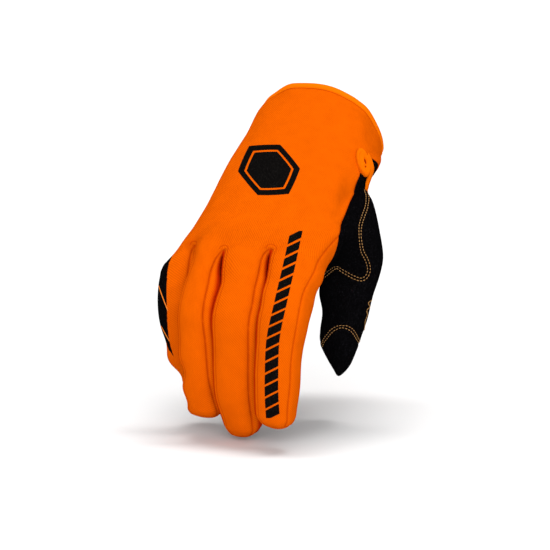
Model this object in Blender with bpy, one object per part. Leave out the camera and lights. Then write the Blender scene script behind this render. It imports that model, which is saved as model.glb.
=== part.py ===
"""A right-hand motocross glove, held open as it is when worn.

The back of the hand slopes up and away to the cuff, the fingers and thumb hang down, and the
hollow inside is open at the cuff. The origin is the middle of the cuff's opening. +Z is up,
+X is towards the thumb and +Y is away from the back of the fingers.

Every panel is cut from one lattice of points over the worn hand. The lattice is worked out on a
flat hand, in three numbers: across from the little finger to the thumb, along from the knuckles
to the fingertips, and up from the palm to the back. Then the fingers are bent at their joints,
and the whole is turned into place.
"""

import math
from collections import namedtuple

import bmesh
import bpy
import numpy as np
from mathutils import Vector

MM = 0.001

# Sizes of the worn hand
HAND_LENGTH = 122 * MM
HAND_WIDTH = 88 * MM
HAND_DEPTH = 40 * MM
WEB_DISTANCE = 7 * MM
KNUCKLE_BLEND = 9 * MM
FINGER_LENGTH = 90 * MM
ROOT_FLARE = 6 * MM
FINGER_DEPTH = 19 * MM
FINGER_GAP = 1.2 * MM
THUMB_WIDTH = 27 * MM
THUMB_DEPTH = 25 * MM

# Cloth and seams
WALL = 1.5 * MM
SEAM_GAP = 0.3 * MM
FOLDED_SEAM_GAP = 0.5 * MM
PATCH_LIFT = 0.5 * MM
BINDING_HEIGHT = 4.0 * MM
BINDING_THICKNESS = 2.4 * MM
PATCH_THICKNESS = 1.0 * MM
STRAP_LIFT = 0.6 * MM
STRAP_THICKNESS = 2.0 * MM
TAB_THICKNESS = 3.0 * MM

# How the hand is held, in degrees
LEAN = 36
RECEDE = 56
ROLL = 39
LITTLE_ARCH = 38
INDEX_ARCH = 4
TURN_SHARE = 0.52

# Width is a share of HAND_WIDTH less the gaps, length of FINGER_LENGTH, depth of FINGER_DEPTH,
# and web of WEB_DISTANCE on the finger's little-finger side. Bends and splay are in degrees.
Finger = namedtuple("Finger", "name width length depth web knuckle middle end splay")
FINGERS = (
    Finger("pinky", 0.235, 0.69, 0.90, 0.4, 41, 40, 22, -5),
    Finger("ring", 0.225, 0.90, 0.97, -0.5, 23, 42, 19, -1),
    Finger("middle", 0.272, 1.00, 1.00, 0.8, 23, 40, 17, 2),
    Finger("index", 0.268, 0.925, 1.00, 0.4, 15, 34, 17, 2.5),
)
OUTER_WEB = 1.0

# Where each bend lies, as a share of the way from knuckle to tip, and half its reach
Joint = namedtuple("Joint", "name share reach")
JOINTS = (
    Joint("knuckle", 0.0, 12 * MM),
    Joint("middle", 0.43, 9 * MM),
    Joint("end", 0.71, 6 * MM),
)

# A finger's width and depth, as shares of its own, from web (0) to the start of the tip (1)
Girth = namedtuple("Girth", "share width depth")
FINGER_GIRTHS = (
    Girth(0.00, 1.00, 1.00),
    Girth(0.40, 1.00, 1.00),
    Girth(0.70, 0.98, 0.96),
    Girth(1.00, 0.93, 0.86),
)
TIP_LENGTH = 8.5 * MM

# Along is a share of HAND_LENGTH from the rim. Width is a share of HAND_WIDTH, back and palm of
# half HAND_DEPTH, and across moves the middle by a share of HAND_WIDTH.
Section = namedtuple("Section", "along width back palm across")
SECTIONS = (
    Section(0.00, 0.79, 1.30, 1.42, -0.005),
    Section(0.12, 0.82, 1.20, 1.40, 0.000),
    Section(0.28, 0.85, 1.02, 1.45, 0.015),
    Section(0.42, 0.88, 0.92, 1.50, 0.045),
    Section(0.60, 0.90, 0.84, 1.40, 0.070),
    Section(0.80, 0.92, 0.78, 1.10, 0.085),
    Section(1.00, 0.98, 0.74, 0.80, 0.060),
)

# The thumb's path from its root to the start of its tip. Along is a share of HAND_LENGTH from
# the knuckles, across of HAND_WIDTH and up of HAND_DEPTH, and the last two are shares of
# THUMB_WIDTH and THUMB_DEPTH.
Thumb = namedtuple("Thumb", "share along across up width depth")
THUMB = (
    Thumb(0.00, -0.42, 0.45, -0.10, 1.50, 1.50),
    Thumb(0.17, -0.36, 0.535, -0.34, 1.32, 1.30),
    Thumb(0.36, -0.28, 0.530, -0.66, 1.08, 1.10),
    Thumb(0.55, -0.20, 0.485, -0.98, 0.96, 0.96),
    Thumb(0.72, -0.150, 0.460, -1.26, 0.90, 0.90),
    Thumb(0.87, -0.120, 0.445, -1.48, 0.82, 0.82),
    Thumb(1.00, -0.105, 0.435, -1.64, 0.64, 0.64),
)
THUMB_TIP_LENGTH = 13.5 * MM
THUMB_POINT = 0.72

# The tip cap's edge: its share of the thumb's path at the sides, its rise in front, and the slot
# of its highest place
CAP_ARCH = (0.90, 0.20, 4.2)

THUMB_SLANT = 0.33
THUMB_BLEND = (0.24, 0.33)

# Steps of the lattice across a finger's back and down its side, and the rows along each part
BACK_STEPS = 4
SIDE_STEPS = 3
HAND_ROWS = (0.0, 0.035, 0.10, 0.17, 0.25, 0.33, 0.42, 0.51, 0.60, 0.70, 0.80, 0.90)
WEB_ROWS = (0.0, 0.35, 0.70, 1.0)
FINGER_ROWS = (0.05, 0.14, 0.25, 0.36, 0.47, 0.58, 0.69, 0.80, 0.90, 1.0)
DOME_ROWS = (0.40, 0.72)
THUMB_ROWS = (0.10, 0.20, 0.31, 0.42, 0.52, 0.62, 0.71, 0.80, 0.90, 1.0)
CUFF_ROW = 5
HOLE_ROWS = (8, 12)
HOLE_STEPS = 4
STRAP_MIDDLE_ROW = 5.85
STRAP_ROWS = 1.6
STRAP_COLUMNS = (15, 15.2, 15.5, 16, 16.5, 16.9, 17.1, 17.5, 18, 18.5, 19, 20, 21, 22, 23)
TAB_COLUMN = 16
SADDLE_HAND_ROWS = (7, 8)
SADDLE_HAND_STEPS = 2
SADDLE_THUMB_SLOTS = ((-1, 7), (1, 7), (3, 7), (3, 5))
THUMB_TIP_ROW = 8

HAND_STEPS = len(FINGERS) * BACK_STEPS
RING = 2 * (HAND_STEPS + SIDE_STEPS)
FINGER_RING = 2 * (BACK_STEPS + SIDE_STEPS)
PALM_START = HAND_STEPS + SIDE_STEPS
CORNER = 0.90
THUMB_CORNER = 0.955
FINGER_BACK = (-0.80, -0.42, 0.0, 0.42, 0.80)
HAND_SQUARE = 2.4
FINGER_SQUARE = 2.3


def smooth(t):
    """0 below 0, 1 above 1, and an even S between."""
    t = min(1.0, max(0.0, t))
    return t * t * (3 - 2 * t)


def mix(a, b, t):
    return a + (b - a) * t


def interpolate(table, position):
    """A table's row at a position, on a smooth curve. The first column is the position."""
    rows = np.array(table, float)
    at = rows[:, 0]
    position = min(max(position, at[0]), at[-1])
    low = int(min(max(np.searchsorted(at, position) - 1, 0), len(at) - 2))
    slopes = np.gradient(rows, at, axis=0)
    width = at[low + 1] - at[low]
    t = (position - at[low]) / width
    square, cube = t * t, t * t * t
    return (
        rows[low] * (2 * cube - 3 * square + 1)
        + slopes[low] * width * (cube - 2 * square + t)
        + rows[low + 1] * (3 * square - 2 * cube)
        + slopes[low + 1] * width * (cube - square)
    )


def oval(x, depth, square):
    """Height of a rounded section at x, from -1 to 1 across."""
    return depth * (1 - min(1.0, abs(x)) ** square) ** (1 / square)


def ring_points(xs, back, palm, square):
    """A rounded section's (x, height) points: over the back, one side, the palm and the other side."""
    points = [(x, oval(x, back, square)) for x in xs]
    under = [(x, -oval(x, palm, square)) for x in reversed(xs)]

    def side(top, bottom, sign):
        made = []
        for step in range(1, SIDE_STEPS):
            height = mix(top, bottom, step / SIDE_STEPS)
            depth = back if height > 0 else palm
            made.append((sign * oval(height / depth, 1.0, square), height))
        return made

    right = side(points[-1][1], under[0][1], 1)
    left = side(under[-1][1], points[0][1], -1)
    return points + right + under + left


def finger_layout():
    """Each finger's (middle, half width) across the hand."""
    cloth = HAND_WIDTH - (len(FINGERS) - 1) * FINGER_GAP
    total = sum(finger.width for finger in FINGERS)
    left = -HAND_WIDTH / 2
    found = []
    for finger in FINGERS:
        width = cloth * finger.width / total
        found.append((left + width / 2, width / 2))
        left += width + FINGER_GAP
    return found


LAYOUT = finger_layout()


def edge_between(number):
    """Where the line before that finger lies across the hand, the outer edges being first and last."""
    if number == 0:
        return LAYOUT[0][0] - LAYOUT[0][1]
    if number == len(FINGERS):
        return LAYOUT[-1][0] + LAYOUT[-1][1]
    return (LAYOUT[number - 1][0] + LAYOUT[number - 1][1] + LAYOUT[number][0] - LAYOUT[number][1]) / 2


def web_along(column):
    """How far past the knuckles the hand's last row lies in a column of the back."""
    webs = [finger.web for finger in FINGERS] + [OUTER_WEB]
    return WEB_DISTANCE * float(np.interp(column / BACK_STEPS, range(len(webs)), webs))


def hand_section(along):
    """The hand's ring of points as (across, up) at a share of the way from rim to knuckles."""
    _, width, back, palm, across = interpolate(SECTIONS, along)
    half = width * HAND_WIDTH / 2
    edges = [edge_between(number) / (HAND_WIDTH / 2) for number in range(len(FINGERS) + 1)]
    corner = mix(CORNER, THUMB_CORNER, smooth((along - 0.1) / 0.3))
    xs = [
        float(np.interp(column / BACK_STEPS, range(len(edges)), edges))
        for column in range(HAND_STEPS + 1)
    ]
    xs = [x * (corner if x > 0 else CORNER) for x in xs]
    ring = ring_points(xs, back * HAND_DEPTH / 2, palm * HAND_DEPTH / 2, HAND_SQUARE)
    return [(across * HAND_WIDTH + x * half, up) for x, up in ring]


def finger_section(number, share):
    """A finger's ring of points as (across, up), from its web (0) to the start of its tip (1)."""
    _, width, depth = interpolate(FINGER_GIRTHS, share)
    middle, half = LAYOUT[number]
    high = FINGERS[number].depth * FINGER_DEPTH / 2 * depth
    flare = ROOT_FLARE * (1 - smooth(share / 0.3)) if number == len(FINGERS) - 1 else 0
    ring = ring_points(FINGER_BACK, high, high, FINGER_SQUARE)
    return [(middle + x * half * width + flare * max(0, x) ** 2, up) for x, up in ring]


def finger_end(number):
    """Distance from the knuckles to the start of the finger's tip."""
    return WEB_DISTANCE + FINGERS[number].length * FINGER_LENGTH - TIP_LENGTH


def bend_path(number):
    """A finger's bent middle line, as columns of (distance past the knuckles, along, up, angle)."""
    finger = FINGERS[number]
    length = finger_end(number) + TIP_LENGTH
    start = -JOINTS[0].reach
    distances = np.linspace(start, length, 160)
    angles = np.array(
        [
            sum(
                math.radians(getattr(finger, joint.name))
                * smooth((distance - joint.share * length + joint.reach) / (2 * joint.reach))
                for joint in JOINTS
            )
            for distance in distances
        ]
    )
    step = distances[1] - distances[0]
    turned = (angles[1:] + angles[:-1]) / 2
    along = start + np.concatenate([[0], np.cumsum(np.cos(turned) * step)])
    up = -np.concatenate([[0], np.cumsum(np.sin(turned) * step)])
    return distances, along, up, angles


PATHS = [bend_path(number) for number in range(len(FINGERS))]


def bend(number, distance):
    """A finger's middle line at a distance past the knuckles: (along, up, angle)."""
    distances, *columns = PATHS[number]
    if distance <= distances[0]:
        return distance, 0.0, 0.0
    return [float(np.interp(distance, distances, column)) for column in columns]


def place(across, along, up, number):
    """A point of the flat hand after the finger's bends, its splay and the hand's arch."""
    middle = LAYOUT[number][0]
    x, high, angle = bend(number, along)
    x += up * math.sin(angle)
    high += up * math.cos(angle)
    splay = math.tan(math.radians(FINGERS[number].splay)) * max(0.0, along)
    rigid = smooth((along + KNUCKLE_BLEND) / (KNUCKLE_BLEND + WEB_DISTANCE))
    pivot = mix(across, middle, rigid)
    arch = math.radians(INDEX_ARCH if pivot > 0 else LITTLE_ARCH)
    slope = pivot / (HAND_WIDTH / 2) * arch * smooth(along / (0.6 * HAND_LENGTH) + 7 / 6)
    turn = slope * mix(1, TURN_SHARE, rigid)
    aside = across + splay - pivot
    reach = pivot * (math.sin(slope) / slope if slope else 1)
    return Vector(
        (
            reach + aside * math.cos(turn) + high * math.sin(turn),
            x,
            -pivot * math.tan(slope / 2) - aside * math.sin(turn) + high * math.cos(turn),
        )
    )


def fingers_of(column):
    """The fingers whose bend a column of the hand's back follows: one, or two at a web."""
    number, rest = divmod(column, BACK_STEPS)
    if number == len(FINGERS):
        return [number - 1]
    return [number - 1, number] if rest == 0 and number > 0 else [number]


def average(points):
    return sum(points, Vector((0, 0, 0))) / len(points)


def turned_axes():
    """The hand's across, along and up directions as held."""
    lean, recede, roll = (math.radians(angle) for angle in (LEAN, RECEDE, ROLL))
    level = Vector((math.sin(lean), 0, math.cos(lean)))
    along = -(level * math.cos(recede) + Vector((0, math.sin(recede), 0)))
    across = Vector((math.cos(lean), 0, -math.sin(lean)))
    up = along.cross(across)
    return (
        across * math.cos(roll) + up * math.sin(roll),
        along,
        up * math.cos(roll) - across * math.sin(roll),
    )


ACROSS, ALONG, UP = turned_axes()
OPENING = Vector((0, -HAND_LENGTH, 0))


def held(point):
    """A point of the bent hand in the part's own frame."""
    moved = point - OPENING
    return ACROSS * moved.x + ALONG * moved.y + UP * moved.z


class Lattice:
    """Named points and the four-sided faces between them, each face belonging to a panel."""

    def __init__(self):
        self.points = {}
        self.faces = []

    def face(self, panel, *keys):
        self.faces.append((panel, tuple(keys)))


def back_column(column):
    """The column of the back that a ring column lies under."""
    if column <= HAND_STEPS:
        return column
    if column < PALM_START:
        return HAND_STEPS
    if column <= PALM_START + HAND_STEPS:
        return PALM_START + HAND_STEPS - column
    return 0


def hand_key(row, column):
    return ("hand", row, column % RING)


LAST_ROW = len(HAND_ROWS) + len(WEB_ROWS) - 1


def in_hole(row, column):
    """Whether a point of the hand lies inside the hole that the thumb grows from."""
    return HOLE_ROWS[0] < row < HOLE_ROWS[1] and HAND_STEPS < column < HAND_STEPS + HOLE_STEPS


def web_point(column):
    """The flat point of the hand's last row in a ring column, on a finger's section or at a web."""
    over = back_column(column)
    along = web_along(over)
    number = min(over // BACK_STEPS, len(FINGERS) - 1)
    on_palm = PALM_START <= column <= PALM_START + HAND_STEPS
    shared = over % BACK_STEPS == 0 and 0 < over < HAND_STEPS
    if shared:
        high = min(FINGERS[number - 1].depth, FINGERS[number].depth) * FINGER_DEPTH / 2
        up = -0.62 * high if on_palm else 0.50 * high
        return edge_between(over // BACK_STEPS), along, up
    section = finger_section(number, 0.0)
    step = over - number * BACK_STEPS
    if column <= HAND_STEPS:
        slot = step
    elif column < PALM_START:
        slot = BACK_STEPS + column - HAND_STEPS
    elif on_palm:
        slot = BACK_STEPS + SIDE_STEPS + (BACK_STEPS - step)
    else:
        slot = 2 * BACK_STEPS + SIDE_STEPS + column - PALM_START - HAND_STEPS
    across, up = section[slot % FINGER_RING]
    return across, along, up


def lay_hand(lattice):
    for row, share in enumerate(HAND_ROWS):
        section = hand_section(share)
        for column, (across, up) in enumerate(section):
            if in_hole(row, column):
                continue
            along = mix(-HAND_LENGTH, -KNUCKLE_BLEND, share)
            lattice.points[hand_key(row, column)] = average(
                [place(across, along, up, number) for number in fingers_of(back_column(column))]
            )
    knuckles = hand_section(1.0)
    for step, share in enumerate(WEB_ROWS):
        row = len(HAND_ROWS) + step
        for column, (across, up) in enumerate(knuckles):
            over = back_column(column)
            across_to, along_to, up_to = web_point(column)
            blend = smooth(share)
            lattice.points[hand_key(row, column)] = average(
                [
                    place(
                        mix(across, across_to, blend),
                        mix(-KNUCKLE_BLEND, along_to, share),
                        mix(up, up_to, blend),
                        number,
                    )
                    for number in fingers_of(over)
                ]
            )
    for row in range(LAST_ROW):
        for column in range(RING):
            if HOLE_ROWS[0] <= row < HOLE_ROWS[1] and HAND_STEPS <= column < HAND_STEPS + HOLE_STEPS:
                continue
            lattice.face(
                hand_panel(row, column),
                hand_key(row, column),
                hand_key(row + 1, column),
                hand_key(row + 1, column + 1),
                hand_key(row, column + 1),
            )


def hand_panel(row, column):
    """Which panel a face of the hand belongs to."""
    cuff = row < CUFF_ROW
    if column < HAND_STEPS:
        return "back_panel"
    if column < PALM_START:
        if cuff:
            return "back_panel"
        return "palm_panel" if row < HOLE_ROWS[1] else "index_side_panel"
    if column < PALM_START + HAND_STEPS:
        return "cuff_palm_band" if cuff else "palm_panel"
    return "back_panel"


def web_key(number, step):
    """A point of the line before that finger, from the back (0) to the palm (SIDE_STEPS)."""
    column = number * BACK_STEPS
    if step == 0:
        return hand_key(LAST_ROW, column)
    if step == SIDE_STEPS:
        return hand_key(LAST_ROW, PALM_START + HAND_STEPS - column)
    return ("web", number, step)


def finger_root_key(number, slot):
    """The key of a finger ring's root point, which belongs to the hand's last row or to a web."""
    if slot <= BACK_STEPS:
        return hand_key(LAST_ROW, number * BACK_STEPS + slot)
    if slot < BACK_STEPS + SIDE_STEPS:
        step = slot - BACK_STEPS
        if number == len(FINGERS) - 1:
            return hand_key(LAST_ROW, HAND_STEPS + step)
        return web_key(number + 1, step)
    if slot <= 2 * BACK_STEPS + SIDE_STEPS:
        over = number * BACK_STEPS + 2 * BACK_STEPS + SIDE_STEPS - slot
        return hand_key(LAST_ROW, PALM_START + HAND_STEPS - over)
    step = slot - 2 * BACK_STEPS - SIDE_STEPS
    if number == 0:
        return hand_key(LAST_ROW, PALM_START + HAND_STEPS + step)
    return web_key(number, SIDE_STEPS - step)


def lay_webs(lattice):
    for number in range(1, len(FINGERS)):
        across = edge_between(number)
        along = web_along(number * BACK_STEPS)
        high = min(FINGERS[number - 1].depth, FINGERS[number].depth) * FINGER_DEPTH / 2
        for step in range(1, SIDE_STEPS):
            share = step / SIDE_STEPS
            up = mix(0.50 * high, -0.62 * high, share)
            past = along + 2 * MM * math.sin(share * math.pi)
            lattice.points[web_key(number, step)] = average(
                [place(across, past, up, each) for each in (number - 1, number)]
            )


def slot_share(slot):
    """How far across a finger from its little-finger side a ring slot lies, from 0 to 1."""
    if slot <= BACK_STEPS:
        return slot / BACK_STEPS
    if slot < BACK_STEPS + SIDE_STEPS:
        return 1.0
    if slot <= 2 * BACK_STEPS + SIDE_STEPS:
        return (2 * BACK_STEPS + SIDE_STEPS - slot) / BACK_STEPS
    return 0.0


def finger_panel(number, slot):
    """Which panel a face of a finger belongs to."""
    if slot < BACK_STEPS:
        return "back_panel"
    if slot < BACK_STEPS + SIDE_STEPS:
        return fourchette(number + 1)
    if slot < 2 * BACK_STEPS + SIDE_STEPS:
        return "palm_panel"
    return fourchette(number)


def fourchette(number):
    """The side panel before that finger."""
    if number == 0:
        return "pinky_side_panel"
    if number == len(FINGERS):
        return "index_side_panel"
    return f"fourchette_{FINGERS[number - 1].name}_{FINGERS[number].name}"


def close_tip(lattice, panel, name, ring, interior, columns, turned=False):
    """Closes a finger's last ring with a grid of faces. Interior gives an inner point by row and column."""
    rows = (len(ring) - 2 * columns) // 2

    def key(row, column):
        if row == 0:
            return ring[column]
        if row == rows:
            return ring[2 * columns + rows - column]
        if column == columns:
            return ring[columns + row]
        if column == 0:
            return ring[(2 * (columns + rows) - row) % len(ring)]
        return (name, "tip", row, column)

    for row in range(1, rows):
        for column in range(1, columns):
            lattice.points[key(row, column)] = interior(row, column)
    for row in range(rows):
        for column in range(columns):
            corners = [
                key(row, column),
                key(row + 1, column),
                key(row + 1, column + 1),
                key(row, column + 1),
            ]
            lattice.face(panel(row), *(reversed(corners) if turned else corners))


def lay_finger(lattice, number):
    finger = FINGERS[number]
    end = finger_end(number)
    rows = [("row", share) for share in FINGER_ROWS] + [("dome", share) for share in DOME_ROWS]
    previous = [finger_root_key(number, slot) for slot in range(FINGER_RING)]
    for row, (kind, share) in enumerate(rows):
        section = finger_section(number, share if kind == "row" else 1.0)
        ring = []
        for slot, (across, up) in enumerate(section):
            if kind == "row":
                root = web_along(number * BACK_STEPS + slot_share(slot) * BACK_STEPS)
                along = mix(root, end, share)
            else:
                along = end + TIP_LENGTH * share
                small = math.sqrt(1 - share * share)
                middle = LAYOUT[number][0]
                across = middle + (across - middle) * small
                up *= small
            key = (finger.name, row, slot)
            lattice.points[key] = place(across, along, up, number)
            ring.append(key)
        for slot in range(FINGER_RING):
            after = (slot + 1) % FINGER_RING
            corners = previous[slot], ring[slot], ring[after], previous[after]
            lattice.face(finger_panel(number, slot), *corners)
        previous = ring

    middle, half = LAYOUT[number]
    _, width, depth = FINGER_GIRTHS[-1]
    half *= width
    high = finger.depth * FINGER_DEPTH / 2 * depth
    small = math.sqrt(1 - DOME_ROWS[-1] ** 2)

    def interior(row, column):
        x = FINGER_BACK[column] * small
        z = (1 - 2 * row / SIDE_STEPS) * small * 0.9
        along = end + TIP_LENGTH * math.sqrt(max(0.0, 1 - x * x - z * z))
        return place(middle + x * half, along, z * high, number)

    close_tip(
        lattice,
        lambda row: "back_panel" if row < SIDE_STEPS - 1 else "palm_panel",
        finger.name,
        previous,
        interior,
        BACK_STEPS,
    )


def thumb_frame(share):
    """The thumb at a share of its path: its middle, its directions and its half sizes.

    The directions are forward, towards the fingers and outward.
    """

    def middle_at(position):
        _, along, across, up, _, _ = interpolate(THUMB, position)
        return Vector((across * HAND_WIDTH, along * HAND_LENGTH, up * HAND_DEPTH))

    _, _, _, _, width, depth = interpolate(THUMB, share)
    reach = 0.02
    forward = (middle_at(min(1, share + reach)) - middle_at(max(0, share - reach))).normalized()
    inward = Vector((-0.2, 1.0, 0.0))
    inward = (inward - forward * inward.dot(forward)).normalized()
    outward = forward.cross(inward)
    return middle_at(share), forward, inward, outward, width * THUMB_WIDTH / 2, depth * THUMB_DEPTH / 2


def cap_share(share, slot):
    """The thumb's share with its rows drawn up in front, so that the tip cap's edge is an arch."""
    level, rise, middle = CAP_ARCH
    away = abs(slot - middle) / (2 * HOLE_STEPS) * math.pi
    edge = level - rise * (math.cos(away) ** 2 if away < math.pi / 2 else 0)
    start, old = THUMB_ROWS[2], THUMB_ROWS[THUMB_TIP_ROW - 1]
    if share <= start:
        return share
    if share <= old:
        return mix(start, edge, (share - start) / (old - start))
    return mix(edge, 1, (share - old) / (1 - old))


def thumb_loop():
    """The keys round the thumb's hole: its back edge, finger edge, palm edge and wrist edge."""
    first, last = HOLE_ROWS
    left, right = HAND_STEPS, HAND_STEPS + HOLE_STEPS
    return (
        [hand_key(row, left) for row in range(first, last)]
        + [hand_key(last, column) for column in range(left, right)]
        + [hand_key(row, right) for row in range(last, first, -1)]
        + [hand_key(first, column) for column in range(right, left, -1)]
    )


def lay_thumb(lattice):
    loop = thumb_loop()
    count = len(loop)
    side = count // 4
    previous = loop
    rows = [("row", share) for share in THUMB_ROWS] + [("dome", share) for share in DOME_ROWS]
    for row, (kind, share) in enumerate(rows):
        ring = []
        for slot in range(count):
            angle = math.radians(90) - (slot - side / 2) * 2 * math.pi / count
            palmward = (1 - math.sin(angle)) / 2
            ahead = THUMB_SLANT * palmward * (1 - share) if kind == "row" else 0
            middle, forward, inward, outward, wide, deep = thumb_frame(
                mix(cap_share(share, slot), 1, ahead) if kind == "row" else 1.0
            )
            small = 1.0
            if kind == "dome":
                middle = middle + forward * THUMB_TIP_LENGTH * share
                small = (1 - share) ** THUMB_POINT
            point = middle + (inward * math.cos(angle) * deep + outward * math.sin(angle) * wide) * small
            if kind == "row":
                point = lattice.points[loop[slot]].lerp(point, smooth(share / mix(*THUMB_BLEND, palmward)))
            key = ("thumb", row, slot)
            lattice.points[key] = point
            ring.append(key)
        for slot in range(count):
            after = (slot + 1) % count
            panel = "thumb_sleeve" if row < THUMB_TIP_ROW else "thumb_tip_cap"
            lattice.face(panel, previous[after], ring[after], ring[slot], previous[slot])
        previous = ring

    middle, forward, inward, outward, wide, deep = thumb_frame(1.0)
    small = (1 - DOME_ROWS[-1]) ** THUMB_POINT

    def interior(row, column):
        x = (2 * column / side - 1) * small * 0.72
        z = (1 - 2 * row / side) * small * 0.72
        ahead = THUMB_TIP_LENGTH * (1 - 0.8 * math.hypot(x, z) ** (1 / THUMB_POINT))
        return middle + forward * ahead + inward * x * deep + outward * z * wide

    close_tip(lattice, lambda row: "thumb_tip_cap", "thumb", previous, interior, side, turned=True)


def fair(lattice):
    """Evens out the points where the thumb and the fingers leave the hand."""
    weights = {}
    for key in lattice.points:
        part, row = key[:2]
        if part == "hand":
            on_root = HAND_STEPS <= key[2] <= HAND_STEPS + 5 and HOLE_ROWS[0] - 2 <= row <= LAST_ROW
            weights[key] = 0.5 if on_root else 0.25 * (LAST_ROW - 3 <= row < LAST_ROW)
        elif part == "thumb" and row != "tip":
            weights[key] = 0.5 * (1 - row / 5) if row < 5 else 0
        elif part != "web" and row != "tip":
            weights[key] = 0.25 if row < 2 else 0
    beside = {key: set() for key in lattice.points}
    for _, keys in lattice.faces:
        for key, after in zip(keys, keys[1:] + keys[:1]):
            beside[key].add(after)
            beside[after].add(key)
    for _ in range(4):
        moved = {}
        for key, weight in weights.items():
            if weight:
                near = average([lattice.points[other] for other in sorted(beside[key], key=str)])
                moved[key] = lattice.points[key].lerp(near, weight)
        lattice.points.update(moved)


class Surface:
    """The glove's whole outer surface: every point's place and the direction out of the cloth there."""

    def __init__(self, lattice):
        mesh = bmesh.new()
        made = {key: mesh.verts.new(held(point)) for key, point in lattice.points.items()}
        for _, keys in lattice.faces:
            mesh.faces.new([made[key] for key in keys])
        mesh.normal_update()
        self.place = {key: vertex.co.copy() for key, vertex in made.items()}
        self.out = {key: vertex.normal.copy() for key, vertex in made.items()}
        self.faces = lattice.faces
        mesh.free()

    def panel(self, name):
        return [keys for panel, keys in self.faces if panel == name]

    def hand_point(self, row, column, lift):
        """A point over the hand, between the lattice's rows and columns, lifted off the cloth."""
        low_row, low_column = int(row), int(column)
        shares = row - low_row, column - low_column
        total = Vector((0, 0, 0))
        for row_step, column_step in ((0, 0), (1, 0), (1, 1), (0, 1)):
            share = shares[0] if row_step else 1 - shares[0]
            share *= shares[1] if column_step else 1 - shares[1]
            if share:
                key = hand_key(low_row + row_step, low_column + column_step)
                total += (self.place[key] + self.out[key] * lift) * share
        return total


def open_edges(faces):
    """The edges that only one of the faces has, each in that face's direction, with the face."""
    found = {}
    for keys in faces:
        for start, end in zip(keys, keys[1:] + keys[:1]):
            if (end, start) in found:
                del found[end, start]
            else:
                found[start, end] = keys
    return found


def drawn_in(surface, faces, distance):
    """How far each point on a sheet's edge moves, so that the whole edge draws in by a distance."""
    inward = {}
    for (start, end), keys in open_edges(faces).items():
        corners = [surface.place[key] for key in keys]
        normal = (corners[2] - corners[0]).cross(corners[3] - corners[1])
        across = normal.cross(surface.place[end] - surface.place[start]).normalized()
        for key in (start, end):
            inward.setdefault(key, []).append(across)
    moves = {}
    for key, directions in inward.items():
        total = sum(directions, Vector((0, 0, 0)))
        first, last = directions[0], directions[-1]
        moves[key] = total * distance / max(0.15, 1 + first.dot(last))
    return moves


def solid(name, material, mesh):
    bmesh.ops.recalc_face_normals(mesh, faces=mesh.faces)
    data = bpy.data.meshes.new(name)
    mesh.to_mesh(data)
    mesh.free()
    data.materials.append(material)
    made = bpy.data.objects.new(name, data)
    bpy.context.scene.collection.objects.link(made)
    return made


def sheet(name, material, surface, faces, low, high, gap=SEAM_GAP):
    """A closed piece of cloth over some faces, from one height over the outer surface to another."""
    moves = drawn_in(surface, faces, gap - SEAM_GAP / 2)
    mesh = bmesh.new()
    layers = []
    for height in (low, high):
        layer = {}
        for keys in faces:
            for key in keys:
                if key not in layer:
                    move = moves.get(key, Vector((0, 0, 0)))
                    layer[key] = mesh.verts.new(surface.place[key] + move + surface.out[key] * height)
        layers.append(layer)
    under, over = layers
    for a, b, c, d in faces:
        for keys in ((a, b, c), (a, c, d)):
            mesh.faces.new([over[key] for key in keys])
            mesh.faces.new([under[key] for key in reversed(keys)])
    for start, end in open_edges(faces):
        mesh.faces.new([over[end], over[start], under[start], under[end]])
    return solid(name, material, mesh)


def tube(name, material, rings, closed):
    """A solid through rings of points. A closed one joins its last ring to its first."""
    mesh = bmesh.new()
    made = [[mesh.verts.new(point) for point in ring] for ring in rings]
    pairs = list(zip(made, made[1:])) + ([(made[-1], made[0])] if closed else [])
    for first, second in pairs:
        for step in range(len(first)):
            after = (step + 1) % len(first)
            mesh.faces.new([first[step], first[after], second[after], second[step]])
    if not closed:
        mesh.faces.new(made[0])
        mesh.faces.new(made[-1])
    return solid(name, material, mesh)


def binding(surface, material):
    """The bound edge round the cuff's opening, just beyond the panels."""
    rings = []
    for column in range(RING):
        rim, inside = hand_key(0, column), hand_key(1, column)
        beyond = (surface.place[rim] - surface.place[inside]).normalized()
        middle = surface.place[rim] + beyond * (SEAM_GAP + BINDING_HEIGHT) / 2 - surface.out[rim] * WALL / 2
        ring = []
        for step in range(8):
            angle = math.radians(45 * step + 22.5)
            corner = 1 / math.cos(math.radians(22.5))
            ring.append(
                middle
                + beyond * math.cos(angle) * corner * BINDING_HEIGHT / 2
                + surface.out[rim] * math.sin(angle) * corner * BINDING_THICKNESS / 2
            )
        rings.append(ring)
    return tube("cuff_binding", material, rings, closed=True)


def strap(surface, material):
    """The moulded closure: a strap round the wrist's palm side, ending in an oval tab by the thumb."""
    rings = []
    for column in STRAP_COLUMNS:
        share = (column - STRAP_COLUMNS[0]) / (TAB_COLUMN - STRAP_COLUMNS[0])
        in_tab = share < 2
        half = STRAP_ROWS / 2
        if in_tab:
            half *= max(0.45, math.sqrt(max(0.0, 1 - (1 - min(1.0, share)) ** 2)))
        thick = TAB_THICKNESS if in_tab else STRAP_THICKNESS
        rows = [STRAP_MIDDLE_ROW + half * place for place in (-1, -0.5, 0, 0.5, 1)]
        under = [surface.hand_point(row, column, STRAP_LIFT) for row in rows]
        over = [surface.hand_point(row, column, STRAP_LIFT + thick) for row in reversed(rows)]
        rings.append(under + over)
    return tube("closure_strap", material, rings, closed=False)


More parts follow.
